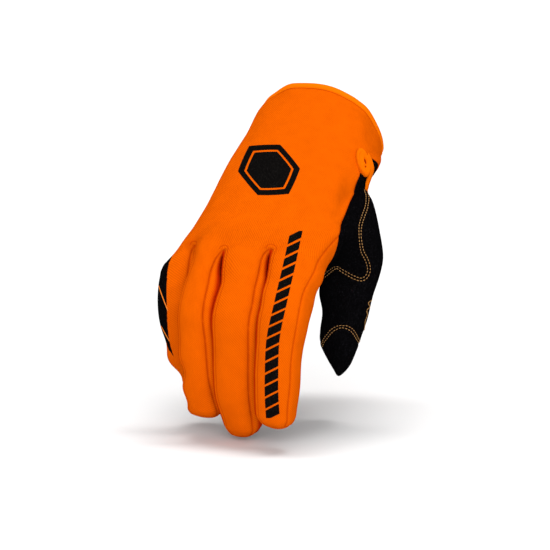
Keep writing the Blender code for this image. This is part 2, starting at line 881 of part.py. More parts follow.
def saddle_faces(surface):
    """The faces that the reinforcing patch between thumb and index finger lies over."""
    first, last = SADDLE_HAND_ROWS
    loop = thumb_loop()
    wanted = {
        frozenset(hand_key(row + i, column + j) for i in (0, 1) for j in (0, 1))
        for row in range(first, last)
        for column in range(HAND_STEPS, HAND_STEPS + SADDLE_HAND_STEPS)
    }
    for row, slots in enumerate(SADDLE_THUMB_SLOTS):
        for slot in range(*slots):
            pair = slot % len(loop), (slot + 1) % len(loop)
            near = [("thumb", row - 1, each) if row else loop[each] for each in pair]
            wanted.add(frozenset(near + [("thumb", row, each) for each in pair]))
    return [keys for _, keys in surface.faces if frozenset(keys) in wanted]


def coloured(name, colour):
    material = bpy.data.materials.new(name)
    material.diffuse_color = (*colour, 1)
    return material


def main():
    for old in list(bpy.data.objects):
        bpy.data.objects.remove(old)
    lattice = Lattice()
    lay_hand(lattice)
    lay_webs(lattice)
    for number in range(len(FINGERS)):
        lay_finger(lattice, number)
    lay_thumb(lattice)
    fair(lattice)
    surface = Surface(lattice)

    orange = coloured("orange_cloth", (0.95, 0.14, 0.002))
    black = coloured("black_suede", (0.01, 0.01, 0.01))
    rubber = coloured("orange_rubber", (0.88, 0.17, 0.002))
    black_panels = ("palm_panel", "pinky_side_panel", "thumb_sleeve", "thumb_tip_cap")
    for name in sorted({panel for panel, _ in surface.faces}):
        material = black if name in black_panels else orange
        folded = name.startswith("fourchette") or name == "thumb_sleeve"
        gap = FOLDED_SEAM_GAP if folded else SEAM_GAP
        sheet(name, material, surface, surface.panel(name), -WALL, 0.0, gap)
    patch = saddle_faces(surface)
    sheet("thumb_saddle_patch", black, surface, patch, PATCH_LIFT, PATCH_LIFT + PATCH_THICKNESS)
    binding(surface, orange)
    strap(surface, rubber)
    return surface


if __name__ == "__main__":
    main()
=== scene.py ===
"""A right-hand motocross glove, held open as it is when worn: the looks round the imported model.

The whole outer surface comes from one lattice of points over the worn hand, with the same named
sizes as the model. It is divided finely, seams and hems are pressed into it, and each panel is cut
from it with its own wall. Closure, stitching, patches and prints are laid on that surface.
"""

import math
from collections import namedtuple

import bmesh
import bpy
import numpy as np
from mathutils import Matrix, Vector, noise
from mathutils.bvhtree import BVHTree
from mathutils.kdtree import KDTree


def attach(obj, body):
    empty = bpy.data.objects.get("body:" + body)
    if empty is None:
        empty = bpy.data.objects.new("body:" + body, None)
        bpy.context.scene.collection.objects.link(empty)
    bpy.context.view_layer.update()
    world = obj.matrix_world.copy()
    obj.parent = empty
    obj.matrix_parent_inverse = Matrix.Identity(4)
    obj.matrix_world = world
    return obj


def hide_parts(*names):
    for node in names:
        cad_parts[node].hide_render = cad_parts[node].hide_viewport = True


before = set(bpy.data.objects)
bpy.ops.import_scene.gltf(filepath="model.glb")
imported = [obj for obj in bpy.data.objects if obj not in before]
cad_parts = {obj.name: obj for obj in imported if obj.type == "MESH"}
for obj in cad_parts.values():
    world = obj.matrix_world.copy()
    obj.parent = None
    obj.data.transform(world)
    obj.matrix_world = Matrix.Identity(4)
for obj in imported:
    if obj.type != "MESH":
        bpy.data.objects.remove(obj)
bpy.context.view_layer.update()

MM = 0.001

# Sizes of the worn hand
HAND_LENGTH = 122 * MM
HAND_WIDTH = 88 * MM
HAND_DEPTH = 40 * MM
WEB_DISTANCE = 7 * MM
KNUCKLE_BLEND = 9 * MM
FINGER_LENGTH = 90 * MM
ROOT_FLARE = 6 * MM
FINGER_DEPTH = 19 * MM
FINGER_GAP = 1.2 * MM
THUMB_WIDTH = 27 * MM
THUMB_DEPTH = 25 * MM

# Cloth, hem and strap
WALL = 1.5 * MM
BINDING_HEIGHT = 4.0 * MM
BINDING_THICKNESS = 2.4 * MM
STRAP_LIFT = 0.6 * MM

# How the hand is held, in degrees
LEAN = 36
RECEDE = 56
ROLL = 39
LITTLE_ARCH = 38
INDEX_ARCH = 4
TURN_SHARE = 0.52

# Width is a share of HAND_WIDTH less the gaps, length of FINGER_LENGTH, depth of FINGER_DEPTH,
# and web of WEB_DISTANCE on the finger's little-finger side. Bends and splay are in degrees.
Finger = namedtuple("Finger", "name width length depth web knuckle middle end splay")
FINGERS = (
    Finger("pinky", 0.235, 0.69, 0.90, 0.4, 41, 40, 22, -5),
    Finger("ring", 0.225, 0.90, 0.97, -0.5, 23, 42, 19, -1),
    Finger("middle", 0.272, 1.00, 1.00, 0.8, 23, 40, 17, 2),
    Finger("index", 0.268, 0.925, 1.00, 0.4, 15, 34, 17, 2.5),
)
OUTER_WEB = 1.0

# A web's top and bottom, as shares of half the finger's depth, and how far it bows out
WEB_HEIGHTS = (0.50, -0.62)
WEB_BOW = 2 * MM

# Where each bend lies, as a share of the way from knuckle to tip, and half its reach
Joint = namedtuple("Joint", "name share reach")
JOINTS = (
    Joint("knuckle", 0.0, 12 * MM),
    Joint("middle", 0.43, 9 * MM),
    Joint("end", 0.71, 6 * MM),
)

# A finger's width and depth, as shares of its own, from web (0) to the start of the tip (1)
Girth = namedtuple("Girth", "share width depth")
FINGER_GIRTHS = (
    Girth(0.00, 1.00, 1.00),
    Girth(0.40, 1.00, 1.00),
    Girth(0.70, 0.98, 0.96),
    Girth(1.00, 0.93, 0.86),
)
TIP_LENGTH = 8.5 * MM

# Along is a share of HAND_LENGTH from the rim. Width is a share of HAND_WIDTH, back and palm of
# half HAND_DEPTH, and across moves the middle by a share of HAND_WIDTH.
Section = namedtuple("Section", "along width back palm across")
SECTIONS = (
    Section(0.00, 0.79, 1.30, 1.42, -0.005),
    Section(0.12, 0.82, 1.20, 1.40, 0.000),
    Section(0.28, 0.85, 1.02, 1.45, 0.015),
    Section(0.42, 0.88, 0.92, 1.50, 0.045),
    Section(0.60, 0.90, 0.84, 1.40, 0.070),
    Section(0.80, 0.92, 0.78, 1.10, 0.085),
    Section(1.00, 0.98, 0.74, 0.80, 0.060),
)

# The thumb's path from its root to the start of its tip. Along is a share of HAND_LENGTH from
# the knuckles, across of HAND_WIDTH and up of HAND_DEPTH, and the last two are shares of
# THUMB_WIDTH and THUMB_DEPTH.
Thumb = namedtuple("Thumb", "share along across up width depth")
THUMB = (
    Thumb(0.00, -0.42, 0.45, -0.10, 1.50, 1.50),
    Thumb(0.17, -0.36, 0.535, -0.34, 1.32, 1.30),
    Thumb(0.36, -0.28, 0.530, -0.66, 1.08, 1.10),
    Thumb(0.55, -0.20, 0.485, -0.98, 0.96, 0.96),
    Thumb(0.72, -0.150, 0.460, -1.26, 0.90, 0.90),
    Thumb(0.87, -0.120, 0.445, -1.48, 0.82, 0.82),
    Thumb(1.00, -0.105, 0.435, -1.64, 0.64, 0.64),
)
THUMB_TIP_LENGTH = 13.5 * MM
THUMB_POINT = 0.72
CAP_ARCH = (0.90, 0.20, 4.2)
THUMB_SLANT = 0.33
THUMB_BLEND = (0.24, 0.33)

# Steps of the lattice across a finger's back and down its side, and the rows along each part
BACK_STEPS = 4
SIDE_STEPS = 3
HAND_ROWS = (0.0, 0.035, 0.10, 0.17, 0.25, 0.33, 0.42, 0.51, 0.60, 0.70, 0.80, 0.90)
WEB_ROWS = (0.0, 0.35, 0.70, 1.0)
FINGER_ROWS = (0.05, 0.14, 0.25, 0.36, 0.47, 0.58, 0.69, 0.80, 0.90, 1.0)
DOME_ROWS = (0.40, 0.72)
THUMB_ROWS = (0.10, 0.20, 0.31, 0.42, 0.52, 0.62, 0.71, 0.80, 0.90, 1.0)
CUFF_ROW = 5
HOLE_ROWS = (8, 12)
HOLE_STEPS = 4
THUMB_TIP_ROW = 8

HAND_STEPS = len(FINGERS) * BACK_STEPS
RING = 2 * (HAND_STEPS + SIDE_STEPS)
FINGER_RING = 2 * (BACK_STEPS + SIDE_STEPS)
PALM_START = HAND_STEPS + SIDE_STEPS
CORNER = 0.90
THUMB_CORNER = 0.955
FINGER_BACK = (-0.80, -0.42, 0.0, 0.42, 0.80)
HAND_SQUARE = 2.4
FINGER_SQUARE = 2.3


def smooth(t):
    """0 below 0, 1 above 1, and an even S between."""
    t = min(1.0, max(0.0, t))
    return t * t * (3 - 2 * t)


def mix(a, b, t):
    return a + (b - a) * t


def interpolate(table, position):
    """A table's row at a position, on a smooth curve. The first column is the position."""
    rows = np.array(table, float)
    at = rows[:, 0]
    position = min(max(position, at[0]), at[-1])
    low = int(min(max(np.searchsorted(at, position) - 1, 0), len(at) - 2))
    slopes = np.gradient(rows, at, axis=0)
    width = at[low + 1] - at[low]
    t = (position - at[low]) / width
    square, cube = t * t, t * t * t
    return (
        rows[low] * (2 * cube - 3 * square + 1)
        + slopes[low] * width * (cube - 2 * square + t)
        + rows[low + 1] * (3 * square - 2 * cube)
        + slopes[low + 1] * width * (cube - square)
    )


def oval(x, depth, square):
    """Height of a rounded section at x, from -1 to 1 across."""
    return depth * (1 - min(1.0, abs(x)) ** square) ** (1 / square)


def ring_points(xs, back, palm, square):
    """A rounded section's (x, height) points: over the back, a side, the palm and a side."""
    points = [(x, oval(x, back, square)) for x in xs]
    under = [(x, -oval(x, palm, square)) for x in reversed(xs)]

    def side(top, bottom, sign):
        made = []
        for step in range(1, SIDE_STEPS):
            height = mix(top, bottom, step / SIDE_STEPS)
            depth = back if height > 0 else palm
            made.append((sign * oval(height / depth, 1.0, square), height))
        return made

    right = side(points[-1][1], under[0][1], 1)
    left = side(under[-1][1], points[0][1], -1)
    return points + right + under + left


def finger_layout():
    """Each finger's (middle, half width) across the hand."""
    cloth = HAND_WIDTH - (len(FINGERS) - 1) * FINGER_GAP
    total = sum(finger.width for finger in FINGERS)
    left = -HAND_WIDTH / 2
    found = []
    for finger in FINGERS:
        width = cloth * finger.width / total
        found.append((left + width / 2, width / 2))
        left += width + FINGER_GAP
    return found


LAYOUT = finger_layout()


def edge_between(number):
    """Where the line before that finger lies across the hand. The first and last are its edges."""
    if number == 0:
        return LAYOUT[0][0] - LAYOUT[0][1]
    if number == len(FINGERS):
        return LAYOUT[-1][0] + LAYOUT[-1][1]
    (left, left_half), (right, right_half) = LAYOUT[number - 1 : number + 1]
    return (left + left_half + right - right_half) / 2


def web_along(column):
    """How far past the knuckles the hand's last row lies in a column of the back."""
    webs = [finger.web for finger in FINGERS] + [OUTER_WEB]
    return WEB_DISTANCE * float(np.interp(column / BACK_STEPS, range(len(webs)), webs))


def hand_section(along):
    """The hand's ring of points as (across, up) at a share of the way from rim to knuckles."""
    _, width, back, palm, across = interpolate(SECTIONS, along)
    half = width * HAND_WIDTH / 2
    edges = [edge_between(number) / (HAND_WIDTH / 2) for number in range(len(FINGERS) + 1)]
    corner = mix(CORNER, THUMB_CORNER, smooth((along - 0.1) / 0.3))
    xs = [
        float(np.interp(column / BACK_STEPS, range(len(edges)), edges))
        for column in range(HAND_STEPS + 1)
    ]
    xs = [x * (corner if x > 0 else CORNER) for x in xs]
    ring = ring_points(xs, back * HAND_DEPTH / 2, palm * HAND_DEPTH / 2, HAND_SQUARE)
    return [(across * HAND_WIDTH + x * half, up) for x, up in ring]


def finger_section(number, share):
    """A finger's ring of points as (across, up), from its web (0) to the start of its tip (1)."""
    _, width, depth = interpolate(FINGER_GIRTHS, share)
    middle, half = LAYOUT[number]
    high = FINGERS[number].depth * FINGER_DEPTH / 2 * depth
    flare = ROOT_FLARE * (1 - smooth(share / 0.3)) if number == len(FINGERS) - 1 else 0
    ring = ring_points(FINGER_BACK, high, high, FINGER_SQUARE)
    return [(middle + x * half * width + flare * max(0, x) ** 2, up) for x, up in ring]


def finger_end(number):
    """Distance from the knuckles to the start of the finger's tip."""
    return WEB_DISTANCE + FINGERS[number].length * FINGER_LENGTH - TIP_LENGTH


def bend_path(number):
    """A finger's bent middle line, as columns of (distance past the knuckles, along, up, angle)."""
    finger = FINGERS[number]
    length = finger_end(number) + TIP_LENGTH
    start = -JOINTS[0].reach
    distances = np.linspace(start, length, 160)
    angles = np.array(
        [
            sum(
                math.radians(getattr(finger, joint.name))
                * smooth((distance - joint.share * length + joint.reach) / (2 * joint.reach))
                for joint in JOINTS
            )
            for distance in distances
        ]
    )
    step = distances[1] - distances[0]
    turned = (angles[1:] + angles[:-1]) / 2
    along = start + np.concatenate([[0], np.cumsum(np.cos(turned) * step)])
    up = -np.concatenate([[0], np.cumsum(np.sin(turned) * step)])
    return distances, along, up, angles


PATHS = [bend_path(number) for number in range(len(FINGERS))]


def bend(number, distance):
    """A finger's middle line at a distance past the knuckles: (along, up, angle)."""
    distances, *columns = PATHS[number]
    if distance <= distances[0]:
        return distance, 0.0, 0.0
    return [float(np.interp(distance, distances, column)) for column in columns]


def place(across, along, up, number):
    """A point of the flat hand after the finger's bends, its splay and the hand's arch."""
    middle = LAYOUT[number][0]
    x, high, angle = bend(number, along)
    x += up * math.sin(angle)
    high += up * math.cos(angle)
    splay = math.tan(math.radians(FINGERS[number].splay)) * max(0.0, along)
    rigid = smooth((along + KNUCKLE_BLEND) / (KNUCKLE_BLEND + WEB_DISTANCE))
    pivot = mix(across, middle, rigid)
    arch = math.radians(INDEX_ARCH if pivot > 0 else LITTLE_ARCH)
    slope = pivot / (HAND_WIDTH / 2) * arch * smooth(along / (0.6 * HAND_LENGTH) + 7 / 6)
    turn = slope * mix(1, TURN_SHARE, rigid)
    aside = across + splay - pivot
    reach = pivot * (math.sin(slope) / slope if slope else 1)
    return Vector(
        (
            reach + aside * math.cos(turn) + high * math.sin(turn),
            x,
            -pivot * math.tan(slope / 2) - aside * math.sin(turn) + high * math.cos(turn),
        )
    )


def fingers_of(column):
    """The fingers whose bend a column of the hand's back follows: one, or two at a web."""
    number, rest = divmod(column, BACK_STEPS)
    if number == len(FINGERS):
        return [number - 1]
    return [number - 1, number] if rest == 0 and number > 0 else [number]


def average(points):
    return sum(points, Vector((0, 0, 0))) / len(points)


def turned_axes():
    """The hand's across, along and up directions as held."""
    lean, recede, roll = (math.radians(angle) for angle in (LEAN, RECEDE, ROLL))
    level = Vector((math.sin(lean), 0, math.cos(lean)))
    along = -(level * math.cos(recede) + Vector((0, math.sin(recede), 0)))
    across = Vector((math.cos(lean), 0, -math.sin(lean)))
    up = along.cross(across)
    return (
        across * math.cos(roll) + up * math.sin(roll),
        along,
        up * math.cos(roll) - across * math.sin(roll),
    )


ACROSS, ALONG, UP = turned_axes()
OPENING = Vector((0, -HAND_LENGTH, 0))


def held(point):
    """A point of the bent hand in the part's own frame."""
    moved = point - OPENING
    return ACROSS * moved.x + ALONG * moved.y + UP * moved.z


class Lattice:
    """Named points and the four-sided faces between them, each face belonging to a panel."""

    def __init__(self):
        self.points = {}
        self.faces = []

    def face(self, panel, *keys):
        self.faces.append((panel, tuple(keys)))


def back_column(column):
    """The column of the back that a ring column lies under."""
    if column <= HAND_STEPS:
        return column
    if column < PALM_START:
        return HAND_STEPS
    if column <= PALM_START + HAND_STEPS:
        return PALM_START + HAND_STEPS - column
    return 0


def hand_key(row, column):
    return ("hand", row, column % RING)


LAST_ROW = len(HAND_ROWS) + len(WEB_ROWS) - 1


def in_hole(row, column):
    """Whether a point of the hand lies inside the hole that the thumb grows from."""
    return HOLE_ROWS[0] < row < HOLE_ROWS[1] and HAND_STEPS < column < HAND_STEPS + HOLE_STEPS


def web_line(number):
    """The web before that finger: its place across and along, and its two heights."""
    high = min(FINGERS[number - 1].depth, FINGERS[number].depth) * FINGER_DEPTH / 2
    heights = [share * high for share in WEB_HEIGHTS]
    return edge_between(number), web_along(number * BACK_STEPS), heights


def web_point(column):
    """The flat point of the hand's last row in a ring column, on a finger's section or at a web."""
    over = back_column(column)
    number = min(over // BACK_STEPS, len(FINGERS) - 1)
    on_palm = PALM_START <= column <= PALM_START + HAND_STEPS
    if over % BACK_STEPS == 0 and 0 < over < HAND_STEPS:
        across, along, heights = web_line(number)
        return across, along, heights[on_palm]
    step = over - number * BACK_STEPS
    if column <= HAND_STEPS:
        slot = step
    elif column < PALM_START:
        slot = BACK_STEPS + column - HAND_STEPS
    elif on_palm:
        slot = BACK_STEPS + SIDE_STEPS + (BACK_STEPS - step)
    else:
        slot = 2 * BACK_STEPS + SIDE_STEPS + column - PALM_START - HAND_STEPS
    across, up = finger_section(number, 0.0)[slot % FINGER_RING]
    return across, web_along(over), up


def lay_hand(lattice):
    for row, share in enumerate(HAND_ROWS):
        section = hand_section(share)
        for column, (across, up) in enumerate(section):
            if in_hole(row, column):
                continue
            along = mix(-HAND_LENGTH, -KNUCKLE_BLEND, share)
            lattice.points[hand_key(row, column)] = average(
                [place(across, along, up, number) for number in fingers_of(back_column(column))]
            )
    knuckles = hand_section(1.0)
    for step, share in enumerate(WEB_ROWS):
        row = len(HAND_ROWS) + step
        for column, (across, up) in enumerate(knuckles):
            over = back_column(column)
            across_to, along_to, up_to = web_point(column)
            blend = smooth(share)
            lattice.points[hand_key(row, column)] = average(
                [
                    place(
                        mix(across, across_to, blend),
                        mix(-KNUCKLE_BLEND, along_to, share),
                        mix(up, up_to, blend),
                        number,
                    )
                    for number in fingers_of(over)
                ]
            )
    for row in range(LAST_ROW):
        for column in range(RING):
            by_thumb = HAND_STEPS <= column < HAND_STEPS + HOLE_STEPS
            if by_thumb and HOLE_ROWS[0] <= row < HOLE_ROWS[1]:
                continue
            lattice.face(
                hand_panel(row, column),
                hand_key(row, column),
                hand_key(row + 1, column),
                hand_key(row + 1, column + 1),
                hand_key(row, column + 1),
            )


def hand_panel(row, column):
    """Which panel a face of the hand belongs to."""
    cuff = row < CUFF_ROW
    if column < HAND_STEPS:
        return "back_panel"
    if column < PALM_START:
        if cuff:
            return "back_panel"
        return "palm_panel" if row < HOLE_ROWS[1] else "index_side_panel"
    if column < PALM_START + HAND_STEPS:
        return "cuff_palm_band" if cuff else "palm_panel"
    return "back_panel"


def web_key(number, step):
    """A point of the line before that finger, from the back (0) to the palm (SIDE_STEPS)."""
    column = number * BACK_STEPS
    if step == 0:
        return hand_key(LAST_ROW, column)
    if step == SIDE_STEPS:
        return hand_key(LAST_ROW, PALM_START + HAND_STEPS - column)
    return ("web", number, step)


def finger_root_key(number, slot):
    """The key of a finger ring's root point, which belongs to the hand's last row or to a web."""
    if slot <= BACK_STEPS:
        return hand_key(LAST_ROW, number * BACK_STEPS + slot)
    if slot < BACK_STEPS + SIDE_STEPS:
        step = slot - BACK_STEPS
        if number == len(FINGERS) - 1:
            return hand_key(LAST_ROW, HAND_STEPS + step)
        return web_key(number + 1, step)
    if slot <= 2 * BACK_STEPS + SIDE_STEPS:
        over = number * BACK_STEPS + 2 * BACK_STEPS + SIDE_STEPS - slot
        return hand_key(LAST_ROW, PALM_START + HAND_STEPS - over)
    step = slot - 2 * BACK_STEPS - SIDE_STEPS
    if number == 0:
        return hand_key(LAST_ROW, PALM_START + HAND_STEPS + step)
    return web_key(number, SIDE_STEPS - step)


def lay_webs(lattice):
    for number in range(1, len(FINGERS)):
        across, along, (top, bottom) = web_line(number)
        for step in range(1, SIDE_STEPS):
            share = step / SIDE_STEPS
            past = along + WEB_BOW * math.sin(share * math.pi)
            up = mix(top, bottom, share)
            lattice.points[web_key(number, step)] = average(
                [place(across, past, up, each) for each in (number - 1, number)]
            )


def slot_share(slot):
    """How far across a finger from its little-finger side a ring slot lies, from 0 to 1."""
    if slot <= BACK_STEPS:
        return slot / BACK_STEPS
    if slot < BACK_STEPS + SIDE_STEPS:
        return 1.0
    if slot <= 2 * BACK_STEPS + SIDE_STEPS:
        return (2 * BACK_STEPS + SIDE_STEPS - slot) / BACK_STEPS
    return 0.0


def finger_panel(number, slot):
    """Which panel a face of a finger belongs to."""
    if slot < BACK_STEPS:
        return "back_panel"
    if slot < BACK_STEPS + SIDE_STEPS:
        return fourchette(number + 1)
    if slot < 2 * BACK_STEPS + SIDE_STEPS:
        return "palm_panel"
    return fourchette(number)


def fourchette(number):
    """The side panel before that finger."""
    if number == 0:
        return "pinky_side_panel"
    if number == len(FINGERS):
        return "index_side_panel"
    return f"fourchette_{FINGERS[number - 1].name}_{FINGERS[number].name}"


def close_tip(lattice, panel, name, ring, interior, columns, turned=False):
    """Closes a last ring with a grid of faces. Interior gives a point by row and column."""
    rows = (len(ring) - 2 * columns) // 2

    def key(row, column):
        if row == 0:
            return ring[column]
        if row == rows:
            return ring[2 * columns + rows - column]
        if column == columns:
            return ring[columns + row]
        if column == 0:
            return ring[(2 * (columns + rows) - row) % len(ring)]
        return (name, "tip", row, column)

    for row in range(1, rows):
        for column in range(1, columns):
            lattice.points[key(row, column)] = interior(row, column)
    for row in range(rows):
        for column in range(columns):
            corners = [
                key(row, column),
                key(row + 1, column),
                key(row + 1, column + 1),
                key(row, column + 1),
            ]
            lattice.face(panel(row), *(reversed(corners) if turned else corners))


def lay_finger(lattice, number):
    finger = FINGERS[number]
    end = finger_end(number)
    rows = [("row", share) for share in FINGER_ROWS] + [("dome", share) for share in DOME_ROWS]
    previous = [finger_root_key(number, slot) for slot in range(FINGER_RING)]
    for row, (kind, share) in enumerate(rows):
        section = finger_section(number, share if kind == "row" else 1.0)
        ring = []
        for slot, (across, up) in enumerate(section):
            if kind == "row":
                root = web_along(number * BACK_STEPS + slot_share(slot) * BACK_STEPS)
                along = mix(root, end, share)
            else:
                along = end + TIP_LENGTH * share
                small = math.sqrt(1 - share * share)
                middle = LAYOUT[number][0]
                across = middle + (across - middle) * small
                up *= small
            key = (finger.name, row, slot)
            lattice.points[key] = place(across, along, up, number)
            ring.append(key)
        for slot in range(FINGER_RING):
            after = (slot + 1) % FINGER_RING
            corners = previous[slot], ring[slot], ring[after], previous[after]
            lattice.face(finger_panel(number, slot), *corners)
        previous = ring

    middle, half = LAYOUT[number]
    _, width, depth = FINGER_GIRTHS[-1]
    half *= width
    high = finger.depth * FINGER_DEPTH / 2 * depth
    small = math.sqrt(1 - DOME_ROWS[-1] ** 2)

    def interior(row, column):
        x = FINGER_BACK[column] * small
        z = (1 - 2 * row / SIDE_STEPS) * small * 0.9
        along = end + TIP_LENGTH * math.sqrt(max(0.0, 1 - x * x - z * z))
        return place(middle + x * half, along, z * high, number)

    close_tip(
        lattice,
        lambda row: "back_panel" if row < SIDE_STEPS - 1 else "palm_panel",
        finger.name,
        previous,
        interior,
        BACK_STEPS,
    )


def thumb_frame(share):
    """The thumb at a share of its path: its middle, its directions and its half sizes.

    The directions are forward, towards the fingers and outward.
    """

    def middle_at(position):
        _, along, across, up, _, _ = interpolate(THUMB, position)
        return Vector((across * HAND_WIDTH, along * HAND_LENGTH, up * HAND_DEPTH))

    _, _, _, _, width, depth = interpolate(THUMB, share)
    reach = 0.02
    forward = (middle_at(min(1, share + reach)) - middle_at(max(0, share - reach))).normalized()
    inward = Vector((-0.2, 1.0, 0.0))
    inward = (inward - forward * inward.dot(forward)).normalized()
    outward = forward.cross(inward)
    wide, deep = width * THUMB_WIDTH / 2, depth * THUMB_DEPTH / 2
    return middle_at(share), forward, inward, outward, wide, deep


def cap_share(share, slot):
    """The thumb's share with its rows drawn up in front, so that the tip cap's edge is an arch."""
    level, rise, middle = CAP_ARCH
    away = abs(slot - middle) / (2 * HOLE_STEPS) * math.pi
    edge = level - rise * (math.cos(away) ** 2 if away < math.pi / 2 else 0)
    start, old = THUMB_ROWS[2], THUMB_ROWS[THUMB_TIP_ROW - 1]
    if share <= start:
        return share
    if share <= old:
        return mix(start, edge, (share - start) / (old - start))
    return mix(edge, 1, (share - old) / (1 - old))


def thumb_loop():
    """The keys round the thumb's hole: its back edge, finger edge, palm edge and wrist edge."""
    first, last = HOLE_ROWS
    left, right = HAND_STEPS, HAND_STEPS + HOLE_STEPS
    return (
        [hand_key(row, left) for row in range(first, last)]
        + [hand_key(last, column) for column in range(left, right)]
        + [hand_key(row, right) for row in range(last, first, -1)]
        + [hand_key(first, column) for column in range(right, left, -1)]
    )


def lay_thumb(lattice):
    loop = thumb_loop()
    count = len(loop)
    side = count // 4
    previous = loop
    rows = [("row", share) for share in THUMB_ROWS] + [("dome", share) for share in DOME_ROWS]
    for row, (kind, share) in enumerate(rows):
        ring = []
        for slot in range(count):
            angle = math.radians(90) - (slot - side / 2) * 2 * math.pi / count
            palmward = (1 - math.sin(angle)) / 2
            ahead = THUMB_SLANT * palmward * (1 - share) if kind == "row" else 0
            middle, forward, inward, outward, wide, deep = thumb_frame(
                mix(cap_share(share, slot), 1, ahead) if kind == "row" else 1.0
            )
            small = 1.0
            if kind == "dome":
                middle = middle + forward * THUMB_TIP_LENGTH * share
                small = (1 - share) ** THUMB_POINT
            aside = inward * math.cos(angle) * deep + outward * math.sin(angle) * wide
            point = middle + aside * small
            if kind == "row":
                clear = smooth(share / mix(*THUMB_BLEND, palmward))
                point = lattice.points[loop[slot]].lerp(point, clear)
            key = ("thumb", row, slot)
            lattice.points[key] = point
            ring.append(key)
        for slot in range(count):
            after = (slot + 1) % count
            panel = "thumb_sleeve" if row < THUMB_TIP_ROW else "thumb_tip_cap"
            lattice.face(panel, previous[after], ring[after], ring[slot], previous[slot])
        previous = ring

    middle, forward, inward, outward, wide, deep = thumb_frame(1.0)
    small = (1 - DOME_ROWS[-1]) ** THUMB_POINT

    def interior(row, column):
        x = (2 * column / side - 1) * small * 0.72
        z = (1 - 2 * row / side) * small * 0.72
        ahead = THUMB_TIP_LENGTH * (1 - 0.8 * math.hypot(x, z) ** (1 / THUMB_POINT))
        return middle + forward * ahead + inward * x * deep + outward * z * wide

    close_tip(lattice, lambda row: "thumb_tip_cap", "thumb", previous, interior, side, turned=True)


def fair(lattice):
    """Evens out the points where the thumb and the fingers leave the hand."""
    weights = {}
    for key in lattice.points:
        part, row = key[:2]
        if part == "hand":
            on_root = HAND_STEPS <= key[2] <= HAND_STEPS + 5 and HOLE_ROWS[0] - 2 <= row <= LAST_ROW
            weights[key] = 0.5 if on_root else 0.25 * (LAST_ROW - 3 <= row < LAST_ROW)
        elif part == "thumb" and row != "tip":
            weights[key] = 0.5 * (1 - row / 5) if row < 5 else 0
        elif part != "web" and row != "tip":
            weights[key] = 0.25 if row < 2 else 0
    beside = {key: set() for key in lattice.points}
    for _, keys in lattice.faces:
        for key, after in zip(keys, keys[1:] + keys[:1]):
            beside[key].add(after)
            beside[after].add(key)
    for _ in range(4):
        moved = {}
        for key, weight in weights.items():
            if weight:
                near = average([lattice.points[other] for other in sorted(beside[key], key=str)])
                moved[key] = lattice.points[key].lerp(near, weight)
        lattice.points.update(moved)


# The camera stands where the photograph was taken from, 1.15 m in front of the cuff
CAMERA_PLACE = Vector((0.0, -1.1472, 0.0802))
CAMERA_TARGET = Vector((-0.02536, -0.00557, -0.07968))
LENS = 140.05
SENSOR = 36.0
PICTURE = 550
FLOOR = -0.1445

# The finely divided surface
LEVELS = 3
GROOVE_DEPTH = 0.28 * MM
GROOVE_REACH = 0.50 * MM
PUFF = 0.12 * MM
PUFF_AWAY = 2.2 * MM
PUFF_REACH = 1.4 * MM
HEM_WIDTH = 2.3 * MM
HEM_RAISE = 0.28 * MM
SIDE_BULGE = (2.2 * MM, -1.3 * MM)
FAR_AWAY = 50 * MM

# The cloth's unevenness: how much, and how fine
UNEVEN = ((0.20 * MM, 55), (0.10 * MM, 130))

# The row of the hand's lattice that the line under the hem lies on
RIM_LINE_ROW = 0.625

# How the worn cloth settles: places in the picture, and how far the glove moves there, in pixels
SETTLED = (
    (230, 263, -7.5, -8), (228, 270, -8, -2), (221, 284, -5, 0), (217, 298, -4.3, 0),
    (214, 317, -3.7, 0),
    (220, 257, -4, -1), (214, 276, -6, 0), (209, 293, -4.8, 0), (205, 317, -3, 0),
    (277, 263, -8, -7), (273, 273, -7.4, 0), (267, 288, -5.4, 0), (261, 305, -2.7, 0),
    (258, 322, -2, 0),
    (270, 256, -6, -4), (263, 265, -4.5, 0), (257, 291, -4.5, 0), (251, 314, -2.6, 0),
    (249, 334, -1, 0),
    (200, 243, -4, -1),
    (336, 241, 3, -5), (338, 252, -2.5, 0), (333, 267, -6, 0), (325, 288, -5.5, 0),
    (318, 297, -3, 0),
    (342, 188, -3, 0), (334, 206, -2.5, 0), (360, 174, -1.5, 0), (360, 195, -6, 0),
    (352, 209, -5.5, 0), (344, 226, -2.5, -1),
    (374, 163, 4, -5), (372, 174, 7, -10), (371, 186, 3, -12), (367, 207, 0, -15),
    (373, 222, 3, -3), (381, 238, -1, 0),
    (384, 254, -2, 0), (381, 274, -3, 0), (375, 292, -2.5, 0), (367, 312, 0, 0), (322, 310, 2, 0),
    (304, 80, 0, 2), (330, 83, 0, 3.5), (349, 88, -2, 6), (366, 96, -5, 6), (376, 107, -6.5, 4),
    (383, 121, -6.5, 2), (385, 135, -4, 0), (382, 150, 0.5, -1),
    (278, 86, 5, 1), (267, 94, 5, 1), (262, 102, 3, 0), (252, 118, 2, 0), (243, 134, 3, 0),
    (228, 166, -2, 0), (220, 182, -2, 0), (212, 198, -2, 0), (189, 230, 2, 0), (177, 246, 2, 0),
    (165, 270, -3, 0), (163, 282, -4, 0), (160, 300, -2, 0), (161, 330, 2, 0), (165, 346, 2.5, 0),
    (172, 364, 0, 0), (177, 374, 4, 0), (183, 384, -1, 0), (190, 406, -2, 0), (199, 414, -6, 0),
    (209, 415, 0, 3), (219, 422, 4, 0), (224, 430, 4, 0),
    (307, 320, 2.5, 0), (304, 332, 2.5, 0), (301, 352, 0.5, 0), (298, 384, 1.5, 0),
    (297, 414, -2, 0),
    (359, 342, -2, 0), (329, 366, 3, 0), (345, 366, 3, 0),
)
SETTLE_REACH = 16.0
SETTLE_EASE = 0.04

